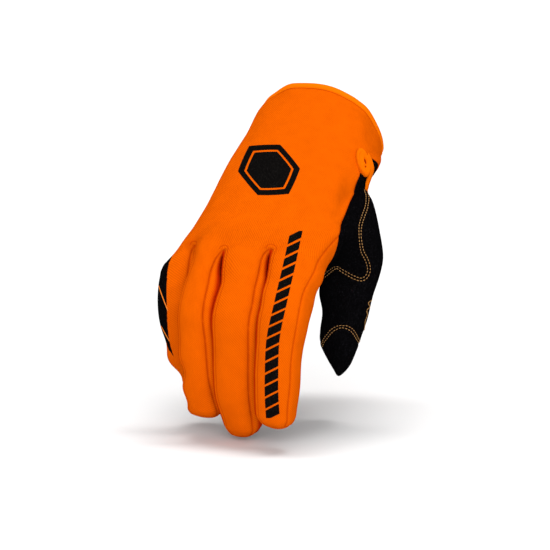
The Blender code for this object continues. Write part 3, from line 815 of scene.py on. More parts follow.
VIEW = (CAMERA_TARGET - CAMERA_PLACE).normalized()
VIEW_RIGHT = VIEW.cross(Vector((0, 0, 1))).normalized()
VIEW_UP = VIEW_RIGHT.cross(VIEW)
FOCAL = LENS / SENSOR * PICTURE


def in_picture(points):
    """Where points show in the picture, in its pixels, as two columns."""
    away = np.asarray(points, float) - np.array(CAMERA_PLACE)
    depth = away @ np.array(VIEW)
    across = away @ np.array(VIEW_RIGHT) / depth
    up = away @ np.array(VIEW_UP) / depth
    return np.stack([PICTURE / 2 + FOCAL * across, PICTURE / 2 - FOCAL * up], axis=-1)


def settled(points):
    """Points moved across the view, as the worn cloth settles."""
    table = np.array(SETTLED, float)

    def pull(places):
        away = ((places[:, None, :] - table[None, :, :2]) ** 2).sum(-1)
        return np.exp(-away / SETTLE_REACH**2)

    eased = pull(table[:, :2]) + SETTLE_EASE * np.eye(len(table))
    moved = pull(in_picture(points)) @ np.linalg.solve(eased, table[:, 2:])
    moved *= ((points - np.array(CAMERA_PLACE)) @ np.array(VIEW) / FOCAL)[:, None]
    return points + moved[:, :1] * np.array(VIEW_RIGHT) - moved[:, 1:] * np.array(VIEW_UP)


def lay_glove():
    lattice = Lattice()
    lay_hand(lattice)
    lay_webs(lattice)
    for number in range(len(FINGERS)):
        lay_finger(lattice, number)
    lay_thumb(lattice)
    fair(lattice)
    return lattice


def face_spots(keys):
    """A face's part of the glove, and its corners as (column, row) there."""
    first, second, third, fourth = keys
    if all(key[0] == "hand" for key in keys):
        row, column = first[1], first[2]
        return "hand", [(column, row), (column, row + 1), (column + 1, row + 1), (column + 1, row)]
    if third[0] == "thumb":
        if isinstance(third[1], int) and (fourth[0] != "thumb" or fourth[1] == third[1] - 1):
            row, slot = third[1:]
            return "thumb", [(slot + 1, row), (slot + 1, row + 1), (slot, row + 1), (slot, row)]
        return "thumb tip", [(0, 0)] * 4
    if isinstance(second[1], int) and (first[0] != second[0] or first[1] == second[1] - 1):
        row, slot = second[1:]
        return second[0], [(slot, row), (slot, row + 1), (slot + 1, row + 1), (slot + 1, row)]
    return second[0] + " tip", [(0, 0)] * 4


class Measure:
    """Distances over the cloth, in metres, for the weave: round the rings and down each part."""

    def __init__(self, place):
        self.place = place
        self.rings = {}
        for row in range(LAST_ROW + 1):
            self.rings["hand", row] = self.around([hand_key(row, column) for column in range(RING)])
        self.down = {("hand", 0): 0.0}
        for row in range(LAST_ROW):
            step = place[hand_key(row + 1, 8)] - place[hand_key(row, 8)]
            self.down["hand", row + 1] = self.down["hand", row] + step.length
        self.tips = {}
        for number, finger in enumerate(FINGERS):
            rings = [[finger_root_key(number, slot) for slot in range(FINGER_RING)]]
            for row in range(len(FINGER_ROWS) + len(DOME_ROWS)):
                rings.append([(finger.name, row, slot) for slot in range(FINGER_RING)])
            start = self.hand_across(LAST_ROW, BACK_STEPS * number + 2, False)
            far = self.down["hand", LAST_ROW]
            for row, ring in enumerate(rings):
                lengths = self.around(ring)
                self.rings[finger.name, row] = [start + length - lengths[2] for length in lengths]
                if row:
                    far += (place[ring[2]] - place[rings[row - 1][2]]).length
                self.down[finger.name, row] = far
            last = rings[-1]
            across = (place[last[BACK_STEPS]] - place[last[0]]).normalized()
            forward = (place[last[2]] - place[rings[-2][2]]).normalized()
            self.tips[finger.name + " tip"] = (place[last[2]], across, forward, start, far)

    def around(self, keys):
        lengths = [0.0]
        for key, after in zip(keys, keys[1:] + keys[:1]):
            known = key in self.place and after in self.place
            step = (self.place[after] - self.place[key]).length if known else 0.0
            lengths.append(lengths[-1] + step)
        return lengths

    def hand_across(self, row, column, on_palm):
        lengths = self.rings["hand", row]
        if on_palm:
            return lengths[column] - lengths[PALM_START + BACK_STEPS * 2]
        if column > PALM_START + BACK_STEPS * 2:
            return lengths[column] - lengths[RING] - lengths[8]
        return lengths[column] - lengths[8]

    def corner(self, part, spots, corner, key):
        column, row = spots[corner]
        low = min(column for column, _ in spots)
        if part == "hand":
            on_palm = PALM_START <= low < PALM_START + HAND_STEPS
            return self.hand_across(row, column, on_palm), self.down["hand", row]
        if part in self.tips:
            middle, across, forward, start, far = self.tips[part]
            away = self.place[key] - middle
            return start + away.dot(across), far + away.dot(forward)
        if part.startswith("thumb"):
            return 0.0, 0.0
        lengths = self.rings[part, row]
        beyond = lengths[FINGER_RING] - lengths[0] if low > 8 else 0.0
        return lengths[column] - beyond, self.down[part, row]


def passing_through(points, faces, rim):
    """Control points whose smooth surface passes through the given points."""
    count = len(points)
    valence = np.bincount(faces.ravel(), minlength=count).astype(float)[:, None]
    after, before = dict(zip(rim, rim[1:] + rim[:1])), dict(zip(rim[1:] + rim[:1], rim))
    rim_after = np.array([after[each] for each in rim])
    rim_before = np.array([before[each] for each in rim])
    found = points.copy()
    for _ in range(4):
        beside, opposite = np.zeros_like(points), np.zeros_like(points)
        for corner in range(4):
            here = faces[:, corner]
            np.add.at(beside, here, found[faces[:, (corner + 1) % 4]] / 2)
            np.add.at(beside, here, found[faces[:, (corner + 3) % 4]] / 2)
            np.add.at(opposite, here, found[faces[:, (corner + 2) % 4]])
        reached = (valence**2 * found + 4 * beside + opposite) / (valence * (valence + 5))
        reached[rim] = (4 * found[rim] + found[rim_after] + found[rim_before]) / 6
        found += points - reached
    return found


def nearest(samples, points):
    """Each point's distance to the nearest of the samples."""
    tree = KDTree(len(samples))
    for number, sample in enumerate(samples):
        tree.insert(sample, number)
    tree.balance()
    return np.array([tree.find(point)[2] for point in points])


def along_edges(points, edges, steps=4):
    """Evenly spaced samples along some edges."""
    shares = np.linspace(0, 1, steps, endpoint=False)[:, None, None]
    made = points[edges[:, 0]] * (1 - shares) + points[edges[:, 1]] * shares
    return made.reshape(-1, 3)


def fetched(items, name, size=1, kind=float):
    """A property of each of a mesh's items, one row for each."""
    found = np.empty(len(items) * size, kind)
    items.foreach_get(name, found)
    return found.reshape(-1, size) if size > 1 else found


def sides(faces):
    """The ends of the sides of four-sided faces."""
    return np.stack([faces, np.roll(faces, -1, axis=1)], axis=-1).reshape(-1, 2)


class Surface:
    """The whole outer surface, finely divided, with seams and hems pressed into it."""

    def __init__(self, lattice):
        keys = list(lattice.points)
        number = {key: count for count, key in enumerate(keys)}
        place = {key: held(lattice.points[key]) for key in keys}
        points = np.array([place[key] for key in keys])
        faces = np.array([[number[key] for key in corners] for _, corners in lattice.faces])
        rim = [number[hand_key(0, column)] for column in range(RING)]
        self.panels = sorted({panel for panel, _ in lattice.faces})
        measure = Measure(place)
        spots, cloth, parts = [], [], []
        for _, corners in lattice.faces:
            part, found = face_spots(corners)
            parts.append(part)
            spots.extend(found)
            cloth.extend(
                measure.corner(part, found, corner, key) for corner, key in enumerate(corners)
            )
        self.parts = sorted(set(parts))
        mesh = bpy.data.meshes.new("lattice")
        mesh.from_pydata(passing_through(points, faces, rim).tolist(), [], faces.tolist())
        for name, values in (
            ("panel", [self.panels.index(panel) for panel, _ in lattice.faces]),
            ("part", [self.parts.index(part) for part in parts]),
        ):
            mesh.attributes.new(name, "INT", "FACE").data.foreach_set("value", values)
        for name, values in (("spot", spots), ("cloth", cloth)):
            layer = mesh.uv_layers.new(name=name)
            layer.data.foreach_set("uv", np.array(values, np.float32).ravel())
        fine = divided(mesh, LEVELS)
        fine.vertices.foreach_set("co", settled(fetched(fine.vertices, "co", 3)).ravel())
        fine.update()
        self.read(fine)
        bpy.data.meshes.remove(fine)
        self.find_edges()
        self.cells = {}
        spot = self.spots.mean(axis=1) * 2**LEVELS
        for face, (part, (across, down)) in enumerate(zip(self.face_part, spot)):
            self.cells[self.parts[part], int(across), int(down)] = face
        self.press()

    def read(self, mesh):
        self.points = fetched(mesh.vertices, "co", 3)
        self.normals = fetched(mesh.vertex_normals, "vector", 3)
        self.faces = fetched(mesh.loops, "vertex_index", kind=int).reshape(-1, 4)
        self.face_panel = fetched(mesh.attributes["panel"].data, "value", kind=int)
        self.face_part = fetched(mesh.attributes["part"].data, "value", kind=int)
        self.spots = fetched(mesh.uv_layers["spot"].data, "uv", 2).reshape(-1, 4, 2)
        self.cloth = fetched(mesh.uv_layers["cloth"].data, "uv", 2).reshape(-1, 4, 2)
        self.part = np.zeros(len(self.points), int)
        self.part[self.faces] = self.face_part[:, None]
        self.spot = np.zeros((len(self.points), 2))
        self.spot[self.faces] = self.spots

    def own_points(self, faces):
        """Which points some faces have."""
        found = np.zeros(len(self.points), bool)
        found[faces] = True
        return found

    def find_edges(self):
        """The edges where two panels meet."""
        ends = np.sort(sides(self.faces), axis=1)
        owner = np.repeat(self.face_panel, 4)
        order = np.lexsort((ends[:, 1], ends[:, 0]))
        ends, owner = ends[order], owner[order]
        pair = np.all(ends[1:] == ends[:-1], axis=1)
        meets = np.nonzero(pair & (owner[1:] != owner[:-1]))[0]
        self.seams = ends[meets]
        self.seam_panels = np.stack([owner[meets], owner[meets + 1]], axis=1)

    def hem_distance(self):
        """How far each point of the back lies from the hem on its finger's little-finger side."""
        found = np.full(len(self.points), FAR_AWAY)
        back, hand = self.panels.index("back_panel"), self.parts.index("hand")
        own = (self.seam_panels == back).any(axis=1)
        on_back = self.own_points(self.faces[self.face_panel == back])
        for finger in FINGERS[1:]:
            part = self.parts.index(finger.name)
            chosen = (self.face_part == part) & (self.face_panel == back)
            edge = self.own_points(self.faces[chosen][self.spots[chosen][:, :, 0] < 0.01])
            lines = self.seams[own & edge[self.seams].all(axis=1)]
            near = np.nonzero(on_back & np.isin(self.part, (part, hand)))[0]
            far = nearest(along_edges(self.points, lines), self.points[near])
            found[near] = np.minimum(found[near], far)
        return found

    def press(self):
        """Works out how far each point lies from the seams and hems, and moves the cloth there."""
        on_hand = self.part == self.parts.index("hand")
        on_rim_line = on_hand & (abs(self.spot[:, 1] - RIM_LINE_ROW) < 0.01)
        lines = along_edges(self.points, self.seams), self.points[on_rim_line]
        self.seam = np.minimum(*(nearest(line, self.points) for line in lines))
        self.hem = self.hem_distance()
        groove = -GROOVE_DEPTH * np.exp(-((self.seam / GROOVE_REACH) ** 2))
        puff = PUFF * np.exp(-(((self.seam - PUFF_AWAY) / PUFF_REACH) ** 2))
        welt = np.clip(self.hem / HEM_WIDTH, 0, 1)
        raised = HEM_RAISE * np.where(self.hem < HEM_WIDTH, np.sin(math.pi * welt**0.7), 0)
        uneven = sum(
            size * np.array([noise.noise(Vector(point) * fine) for point in self.points])
            for size, fine in UNEVEN
        )
        bulge = self.side_bulge()
        shift = groove + puff + raised + uneven + bulge
        self.outer = self.points + self.normals * shift[:, None]
        self.inner = self.points + self.normals * (bulge - WALL)[:, None]
        self.pressed = BVHTree.FromPolygons(self.outer.tolist(), self.faces.tolist())

    def side_bulge(self):
        """The finger sides lean towards the thumb: the right one fills out, the left draws in. It
        also finds where the gaps between the fingers get painted shade.
        """
        found, self.crease = np.zeros(len(self.points)), np.zeros(len(self.points))
        slot, row = self.spot.T
        along = np.clip(row / 2, 0, 1) * np.clip((11 - row) / 2, 0, 1)
        for number, finger in enumerate(FINGERS):
            own = self.part == self.parts.index(finger.name)
            starts = BACK_STEPS, 2 * BACK_STEPS + SIDE_STEPS
            for start, neighbour, size in zip(starts, (number + 1, number), SIDE_BULGE):
                if 0 < neighbour < len(FINGERS):
                    side = own & (slot > start) & (slot < start + SIDE_STEPS)
                    share = np.clip((slot - start) / SIDE_STEPS, 0, 1)
                    found += np.where(side, size * np.sin(share**0.6 * math.pi) ** 2 * along, 0)
                    # Painted shade in the gaps: all of a left side and the deeper part of a right
                    # side are darkened, where shade falls between the fingers
                    deep = np.clip((share - 0.13) / 0.12, 0, 1) if size > 0 else 1.0
                    self.crease = np.maximum(self.crease, np.where(side, deep, 0))
        return found

    def at(self, part, column, row, lift=0.0):
        """A point over a column and row of a part, lifted off the cloth, and its normal."""
        size = 2**LEVELS
        if part == "hand":
            column %= RING
        cell = part, int(column * size), int(row * size)
        face = self.cells.get(cell)
        if face is None:
            near = [key for key in self.cells if key[0] == part]
            wanted = min(near, key=lambda key: (key[1] - cell[1]) ** 2 + (key[2] - cell[2]) ** 2)
            face = self.cells[wanted]
        corners, spots = self.faces[face], self.spots[face]
        low, high = spots.min(axis=0), spots.max(axis=0)
        share = np.clip((np.array([column, row]) - low) / (high - low), 0, 1)
        weights = np.prod(np.where(spots > (low + high) / 2, share, 1 - share), axis=1)
        normal = Vector(weights @ self.normals[corners]).normalized()
        return Vector(weights @ self.outer[corners]) + normal * lift, normal

    def seen(self, x, y, lift=0.0):
        """The point of the cloth that shows at a place in the picture, lifted, and its normal."""
        across, up = (x - PICTURE / 2) / FOCAL, (PICTURE / 2 - y) / FOCAL
        ray = (VIEW + VIEW_RIGHT * across + VIEW_UP * up).normalized()
        hit, normal, _, _ = self.pressed.ray_cast(CAMERA_PLACE, ray)
        if hit is None:
            foot = CAMERA_PLACE + ray * (CAMERA_TARGET - CAMERA_PLACE).dot(ray)
            hit, normal, _, _ = self.pressed.find_nearest(foot)
        return hit + normal * lift, normal

    def on(self, point, lift=0.0):
        """The nearest point of the cloth, lifted off it, and its normal."""
        hit, normal, _, _ = self.pressed.find_nearest(point)
        return hit + normal * lift, normal


def placed(name, data):
    """A new object in the scene."""
    made = bpy.data.objects.new(name, data)
    bpy.context.scene.collection.objects.link(made)
    return made


def worked(made):
    """The mesh that an object's modifiers make. It takes the object's place."""
    depsgraph = bpy.context.evaluated_depsgraph_get()
    mesh = bpy.data.meshes.new_from_object(made.evaluated_get(depsgraph))
    bpy.data.objects.remove(made)
    return mesh


def divided(mesh, levels):
    """A smooth, finer copy of a mesh, which it takes the place of."""
    made = placed(mesh.name, mesh)
    modifier = made.modifiers.new("Subdivision", "SUBSURF")
    modifier.levels = modifier.render_levels = levels
    modifier.uv_smooth = "NONE"
    modifier.boundary_smooth = "ALL"
    modifier.use_limit_surface = True
    fine = worked(made)
    bpy.data.meshes.remove(mesh)
    return fine


def piece(name, mesh, slot, *nodes):
    """A finished piece: it rides with the glove, and stands for the nodes named."""
    made = placed(name, mesh)
    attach(made, "root")
    if nodes:
        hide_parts(*nodes)


def open_edges(faces):
    """The edges that only one of the faces has, each in that face's direction."""
    ends = sides(faces)
    low, high = ends.min(axis=1), ends.max(axis=1)
    code = low.astype(np.int64) * (faces.max() + 1) + high
    _, first, counts = np.unique(code, return_index=True, return_counts=True)
    return ends[first[counts == 1]]


def shell(name, chosen, low, high, materials, values):
    """A closed sheet over the chosen faces, between two layers of points, with its values."""
    faces = surface.faces[chosen]
    used, faces_here = np.unique(faces, return_inverse=True)
    faces_here = faces_here.reshape(-1, 4)
    count = len(used)
    rims = open_edges(faces_here)
    walls = np.stack([rims[:, 1], rims[:, 0], rims[:, 0] + count, rims[:, 1] + count], axis=1)
    quads = np.concatenate([faces_here, faces_here[:, ::-1] + count, walls])
    mesh = bpy.data.meshes.new(name)
    mesh.vertices.add(2 * count)
    mesh.vertices.foreach_set("co", np.concatenate([high[used], low[used]]).ravel())
    mesh.loops.add(quads.size)
    mesh.loops.foreach_set("vertex_index", quads.ravel())
    mesh.polygons.add(len(quads))
    mesh.polygons.foreach_set("loop_start", np.arange(0, quads.size, 4))
    mesh.update(calc_edges=True)
    lining = np.repeat([0, 1, 0], [len(faces), len(faces), len(walls)])
    for material in materials:
        mesh.materials.append(material)
    if len(materials) > 1:
        mesh.polygons.foreach_set("material_index", lining)
    cloth = surface.cloth[chosen]
    rim_cloth = np.zeros((len(walls), 4, 2))
    layer = mesh.uv_layers.new(name="cloth")
    layer.data.foreach_set("uv", np.concatenate([cloth, cloth[:, ::-1], rim_cloth]).ravel())
    for key, value in values.items():
        attribute = mesh.attributes.new(key, "FLOAT", "POINT")
        attribute.data.foreach_set("value", np.tile(value[used], 2).astype(np.float32))
    mesh.validate()
    mesh.set_sharp_from_angle(angle=math.radians(48))
    mesh.polygons.foreach_set("use_smooth", np.ones(len(quads), bool))
    mesh.update()
    return mesh


# ------------------------------------------------------------------------------ finishes


def add(tree, kind, inputs=None, **settings):
    """A shader or geometry node, with its inputs set or linked by name or number."""
    made = tree.nodes.new(kind)
    for key, value in settings.items():
        setattr(made, key, value)
    for key, value in (inputs or {}).items():
        if isinstance(value, bpy.types.NodeSocket):
            tree.links.new(value, made.inputs[key])
        else:
            made.inputs[key].default_value = value
    return made


def calc(tree, operation, *values):
    return add(tree, "ShaderNodeMath", dict(enumerate(values)), operation=operation).outputs[0]


def ranged(tree, value, start, end, first=0.0, last=1.0, kind="LINEAR"):
    inputs = {"Value": value, "From Min": start, "From Max": end, "To Min": first, "To Max": last}
    return add(tree, "ShaderNodeMapRange", inputs, interpolation_type=kind).outputs["Result"]


def blended(tree, share, first, second):
    """One colour or the other, by a share from 0 to 1."""
    inputs = {0: share, 6: first, 7: second}
    return add(tree, "ShaderNodeMix", inputs, data_type="RGBA").outputs[2]


def clouds(tree, place, scale, detail, roughness=0.5):
    inputs = {"Vector": place, "Scale": scale, "Detail": detail, "Roughness": roughness}
    return add(tree, "ShaderNodeTexNoise", inputs).outputs[0]


def use(tree, used, inputs):
    """A shared group placed in a material with its own values."""
    return add(tree, "ShaderNodeGroup", inputs, node_tree=used).outputs


def value_of(tree, name):
    return add(tree, "ShaderNodeAttribute", attribute_name=name).outputs["Fac"]


def object_place(tree):
    return add(tree, "ShaderNodeTexCoord").outputs["Object"]


FLOAT, VECTOR = "NodeSocketFloat", "NodeSocketVector"


def group(name, inputs, outputs):
    """An empty shader node group. An input with a first value is a number, any other a vector."""
    tree = bpy.data.node_groups.new(name, "ShaderNodeTree")
    for key, value in inputs.items():
        kind = VECTOR if value is None else FLOAT
        socket = tree.interface.new_socket(key, in_out="INPUT", socket_type=kind)
        if value is not None:
            socket.default_value = value
    for key in outputs:
        tree.interface.new_socket(key, in_out="OUTPUT", socket_type=FLOAT)
    given, out = tree.nodes.new("NodeGroupInput"), tree.nodes.new("NodeGroupOutput")
    return tree, given.outputs, out.inputs


def twill_group():
    """Fine diagonal ribs, and the threads that cross them."""
    first = {"Vector": None, "Pitch": 0.0012, "Slope": -1.0, "Depth": 1.0}
    tree, given, out = group("twill weave", first, ("Shade", "Height"))
    parts = add(tree, "ShaderNodeSeparateXYZ", {0: given["Vector"]}).outputs
    down = calc(tree, "MULTIPLY", parts[1], given["Slope"])
    waves = []
    for operation, pair, turns in (
        ("ADD", (parts[0], down), 2),
        ("SUBTRACT", (down, parts[0]), 5),
    ):
        steps = calc(tree, "DIVIDE", calc(tree, operation, *pair), given["Pitch"])
        waves.append(calc(tree, "SINE", calc(tree, "MULTIPLY", steps, turns * math.pi)))
    height = calc(tree, "ADD", waves[0], calc(tree, "MULTIPLY", waves[1], 0.45))
    height = calc(tree, "MULTIPLY", height, given["Depth"])
    cloudy = calc(tree, "MULTIPLY", clouds(tree, given["Vector"], 140.0, 3.0), 0.9)
    shade = calc(tree, "ADD", calc(tree, "MULTIPLY", height, 0.5), cloudy)
    tree.links.new(shade, out["Shade"])
    tree.links.new(height, out["Height"])
    return tree


def nap_group():
    """The short nap of suede: a fine speckle over soft patches."""
    first = {"Vector": None, "Scale": 2600.0, "Patches": 160.0}
    tree, given, out = group("suede nap", first, ("Shade", "Height"))
    fine = clouds(tree, given["Vector"], given["Scale"], 3.0, 0.7)
    soft = clouds(tree, given["Vector"], given["Patches"], 2.0)
    speck = ranged(tree, fine, 0.52, 0.76, kind="SMOOTHSTEP")
    shade = calc(tree, "MULTIPLY", speck, calc(tree, "ADD", soft, 0.3))
    tree.links.new(shade, out["Shade"])
    tree.links.new(fine, out["Height"])
    return tree


def line_group():
    """The mark of a seam: 1 on the line, 0 away from it."""
    first = {"Distance": 0.0, "Width": 0.0004, "Fade": 0.0003}
    tree, given, out = group("seam line", first, ("Mark",))
    near = calc(tree, "MULTIPLY", given["Width"], 0.5)
    far = calc(tree, "ADD", near, given["Fade"])
    away = calc(tree, "ABSOLUTE", given["Distance"])
    tree.links.new(ranged(tree, away, near, far, 1.0, 0.0), out["Mark"])
    return tree


TWILL, NAP, LINE = twill_group(), nap_group(), line_group()


def blank(name, roughness, specular):
    """A new material: its tree and its shader."""
    material = bpy.data.materials.new(name)
    material.use_nodes = True
    tree = material.node_tree
    shader = tree.nodes["Principled BSDF"]
    shader.inputs["Roughness"].default_value = roughness
    shader.inputs["Specular IOR Level"].default_value = specular
    return material, tree, shader


def finished(tree, shader, colour, height, strength, distance):
    """Gives the shader its colour and its relief."""
    tree.links.new(colour, shader.inputs["Base Color"])
    inputs = {"Height": height, "Strength": strength, "Distance": distance}
    tree.links.new(add(tree, "ShaderNodeBump", inputs).outputs[0], shader.inputs["Normal"])


ORANGE_PALE = (0.640, 0.0980, 0.0006, 1)
ORANGE_SHADE = (0.460, 0.0590, 0.0003, 1)
ORANGE_DEEP = (0.36, 0.030, 0.0003, 1)
# Painted shade: the dark red laid on the finger sides that face into the gaps
PAINTED_SHADE_RED = (0.42, 0.0200, 0.0002, 1)
BLACK = (0.0010, 0.0009, 0.0011, 1)
BLACK_SPECK = (0.0200, 0.0190, 0.0230, 1)
PATCH_SPECK = (0.0120, 0.0110, 0.0130, 1)
PRINT_BLACK = (0.0024, 0.0021, 0.0020, 1)
PRINT_SPECK = (0.020, 0.018, 0.016, 1)
TAN = (0.34, 0.175, 0.055, 1)
TAPE = (0.66, 0.125, 0.0008, 1)
PIPING = (0.60, 0.16, 0.02, 1)
LINING = (0.50, 0.09, 0.01, 1)
DARK_LINING = (0.004, 0.004, 0.004, 1)
RUBBER = ((0.58, 0.098, 0.0004, 1), (0.65, 0.118, 0.0006, 1))
# Painted shade: the deep red laid in the rubber's pits
PAINTED_PIT_SHADE = (0.25, 0.01, 0.001, 1)


def orange_cloth(name, leaf=False, hem=False):
    """Stretch twill, with painted shade on the finger sides in the gaps. On the back it also has
    the little finger's black insert and its hems.
    """
    material, tree, shader = blank(name, 0.9, 0.0)
    place = add(tree, "ShaderNodeUVMap", uv_map="cloth").outputs[0]
    weave = use(tree, TWILL, {"Vector": place})
    colour = blended(tree, ranged(tree, weave["Shade"], -0.4, 1.3), ORANGE_SHADE, ORANGE_PALE)
    line = {"Distance": value_of(tree, "seam"), "Width": 0.0004, "Fade": 0.0005}
    mark = use(tree, LINE, line)["Mark"]
    if hem:
        beyond = calc(tree, "SUBTRACT", value_of(tree, "hem"), HEM_WIDTH)
        line = {"Distance": beyond, "Width": 0.0003, "Fade": 0.0003}
        mark = calc(tree, "MAXIMUM", mark, use(tree, LINE, line)["Mark"])
    colour = blended(tree, calc(tree, "MULTIPLY", mark, 0.55), colour, ORANGE_DEEP)
    # Painted shade: the finger sides in the gaps turn dark red, where shade falls between the
    # fingers
    colour = blended(tree, value_of(tree, "crease"), colour, PAINTED_SHADE_RED)
    height = calc(tree, "SUBTRACT", weave["Height"], calc(tree, "MULTIPLY", mark, 2.0))
    if leaf:
        nap = use(tree, NAP, {"Vector": object_place(tree)})
        inside = ranged(tree, value_of(tree, "leaf"), 0.0001, -0.0001)
        colour = blended(tree, inside, colour, blended(tree, nap["Shade"], BLACK, BLACK_SPECK))
    finished(tree, shader, colour, height, 0.35, 0.00012)
    return material


def black_suede(name, scale, base, speck, strength):
    material, tree, shader = blank(name, 1.0, 0.0)
    nap = use(tree, NAP, {"Vector": object_place(tree), "Scale": scale})
    colour = blended(tree, nap["Shade"], base, speck)
    finished(tree, shader, colour, nap["Height"], strength, 0.0002)
    return material


def plain(name, colour, roughness, specular, grain=1800.0, spread=0.12, strength=0.25):
    """A spun or woven finish: one colour with a slight unevenness."""
    material, tree, shader = blank(name, roughness, specular)
    fine = clouds(tree, object_place(tree), grain, 2.0)
    dark = tuple((1 - spread) * part for part in colour[:3]) + (1,)
    light = tuple(min(1, (1 + spread) * part) for part in colour[:3]) + (1,)
    finished(tree, shader, blended(tree, fine, dark, light), fine, strength, 0.0001)
    return material


def rubber_finish():
    """Moulded rubber, with painted shade: deep red in its pits, where shade falls."""
    material, tree, shader = blank("orange rubber", 0.7, 0.0)
    fine = clouds(tree, object_place(tree), 700.0, 2.0)
    # Painted shade: the pits darken to deep red by their depth
    deep = ranged(tree, value_of(tree, "pit"), 0.35, 0.8, kind="SMOOTHSTEP")
    colour = blended(tree, deep, blended(tree, fine, *RUBBER), PAINTED_PIT_SHADE)
    finished(tree, shader, colour, fine, 0.15, 0.0001)
    return material


# ------------------------------------------------------------------------------ lines and stitches


def curve_through(corners, count):
    """Points on a smooth curve through some corners, evenly spread between each pair of them."""
    rows = [(number, *corner) for number, corner in enumerate(corners)]
    return [tuple(interpolate(rows, at)[1:]) for at in np.linspace(0, len(rows) - 1, count)]


def traced(corners, count, lift=0.0):
    """A smooth line over the cloth through places in the picture."""
    return [surface.seen(x, y, lift)[0] for x, y in curve_through(corners, count)]


def either_side(line, number):
    """The points before and after one of a line's points, or itself at an end."""
    return line[max(0, number - 1)], line[min(len(line) - 1, number + 1)]


def beside(line, distance, lift):
    """The line that runs beside another on the cloth."""
    made = []
    for number, point in enumerate(line):
        before, after = either_side(line, number)
        side = surface.on(point)[1].cross((after - before).normalized())
        made.append(surface.on(point + side * distance, lift)[0])
    return made


def stitch_tree():
    """A thread stitch laid at every step along each line."""
    tree = bpy.data.node_groups.new("stitches along a line", "GeometryNodeTree")
    geometry = "NodeSocketGeometry"
    kinds = {"Geometry": geometry, "Pitch": FLOAT, "Length": FLOAT, "Thread": FLOAT}
    kinds["Finish"] = "NodeSocketMaterial"
    for key, kind in kinds.items():
        tree.interface.new_socket(key, in_out="INPUT", socket_type=kind)
    tree.interface.new_socket("Geometry", in_out="OUTPUT", socket_type=geometry)
    given, out = tree.nodes.new("NodeGroupInput").outputs, tree.nodes.new("NodeGroupOutput")

    def node(kind, inputs=None, **settings):
        return add(tree, "GeometryNode" + kind, inputs, **settings).outputs[0]

    line = node("MeshToCurve", {0: given["Geometry"]})
    steps = node("ResampleCurve", {"Curve": line, "Length": given["Pitch"]}, mode="LENGTH")
    ball = node("MeshUVSphere", {"Segments": 8, "Rings": 6, "Radius": 0.5})
    sizes = dict(enumerate((given["Length"], given["Thread"], given["Thread"])))
    size = add(tree, "ShaderNodeCombineXYZ", sizes).outputs[0]
    stitch = node("Transform", {"Geometry": ball, "Scale": size})
    tangent = {"Vector": node("InputTangent")}
    turned = add(tree, "FunctionNodeAlignRotationToVector", tangent, axis="X").outputs[0]
    laid = node("InstanceOnPoints", {"Points": steps, "Instance": stitch, "Rotation": turned})
    rounded = node("SetShadeSmooth", {"Geometry": node("RealizeInstances", {0: laid})})
    done = node("SetMaterial", {"Geometry": rounded, "Material": given["Finish"]})
    tree.links.new(done, out.inputs[0])
    return tree


STITCHES = stitch_tree()


def stitched(name, lines, sizes, finish):
    """A piece with all the stitches along some lines."""
    points, edges = [], []
    for line in lines:
        first = len(points)
        points.extend(tuple(point) for point in line)
        edges.extend((number, number + 1) for number in range(first, len(points) - 1))
    mesh = bpy.data.meshes.new(name)
    mesh.from_pydata(points, edges, [])
    made = placed(name, mesh)
    modifier = made.modifiers.new("Stitches", "NODES")
    modifier.node_group = STITCHES
    values = dict(zip(("Pitch", "Length", "Thread"), sizes), Finish=finish)
    for item in STITCHES.interface.items_tree:
        if item.name in values:
            modifier[item.identifier] = values[item.name]
    laid = worked(made)
    laid.name = name
    piece(name, laid, None)


# ------------------------------------------------------------------------------ other solids


def solid(name, points, faces, finish, slot, *nodes, values=None):
    """A finished piece of given points and faces, turned to face outwards."""
    mesh = bpy.data.meshes.new(name)
    mesh.from_pydata([tuple(point) for point in points], [], faces)
    made = bmesh.new()
    made.from_mesh(mesh)
    bmesh.ops.recalc_face_normals(made, faces=made.faces)
    made.to_mesh(mesh)
    made.free()
    mesh.materials.append(finish)
    for key, value in (values or {}).items():
        mesh.attributes.new(key, "FLOAT", "POINT").data.foreach_set("value", value)
    mesh.set_sharp_from_angle(angle=math.radians(50))
    mesh.polygons.foreach_set("use_smooth", [True] * len(mesh.polygons))
    piece(name, mesh, slot, *nodes)


def rolled(angle, across, high):
    """A place round a squarish oval, from -1 to 1 each way. The powers make it square."""
    parts = (math.cos(angle), across), (math.sin(angle), high)
    return [math.copysign(abs(part) ** power, part) for part, power in parts]


def swept(rings, closed=False, filled=True):
    """The points and faces of a tube through rings, closed on itself or with its ends filled."""
    size, count = len(rings[0]), len(rings)
    faces = []
    for number in range(count if closed else count - 1):
        here, there = number * size, (number + 1) % count * size
        for step in range(size):
            after = (step + 1) % size
            faces.append((here + step, here + after, there + after, there + step))
    if filled and not closed:
        faces.append(tuple(range(size)))
        faces.append(tuple(range((count - 1) * size, count * size)))
    return [point for ring in rings for point in ring], faces


def joined(parts):
    """The points and faces of several parts in one."""
    points, faces = [], []
    for more_points, more_faces in parts:
        faces.extend(tuple(len(points) + number for number in face) for face in more_faces)
        points.extend(more_points)
    return points, faces


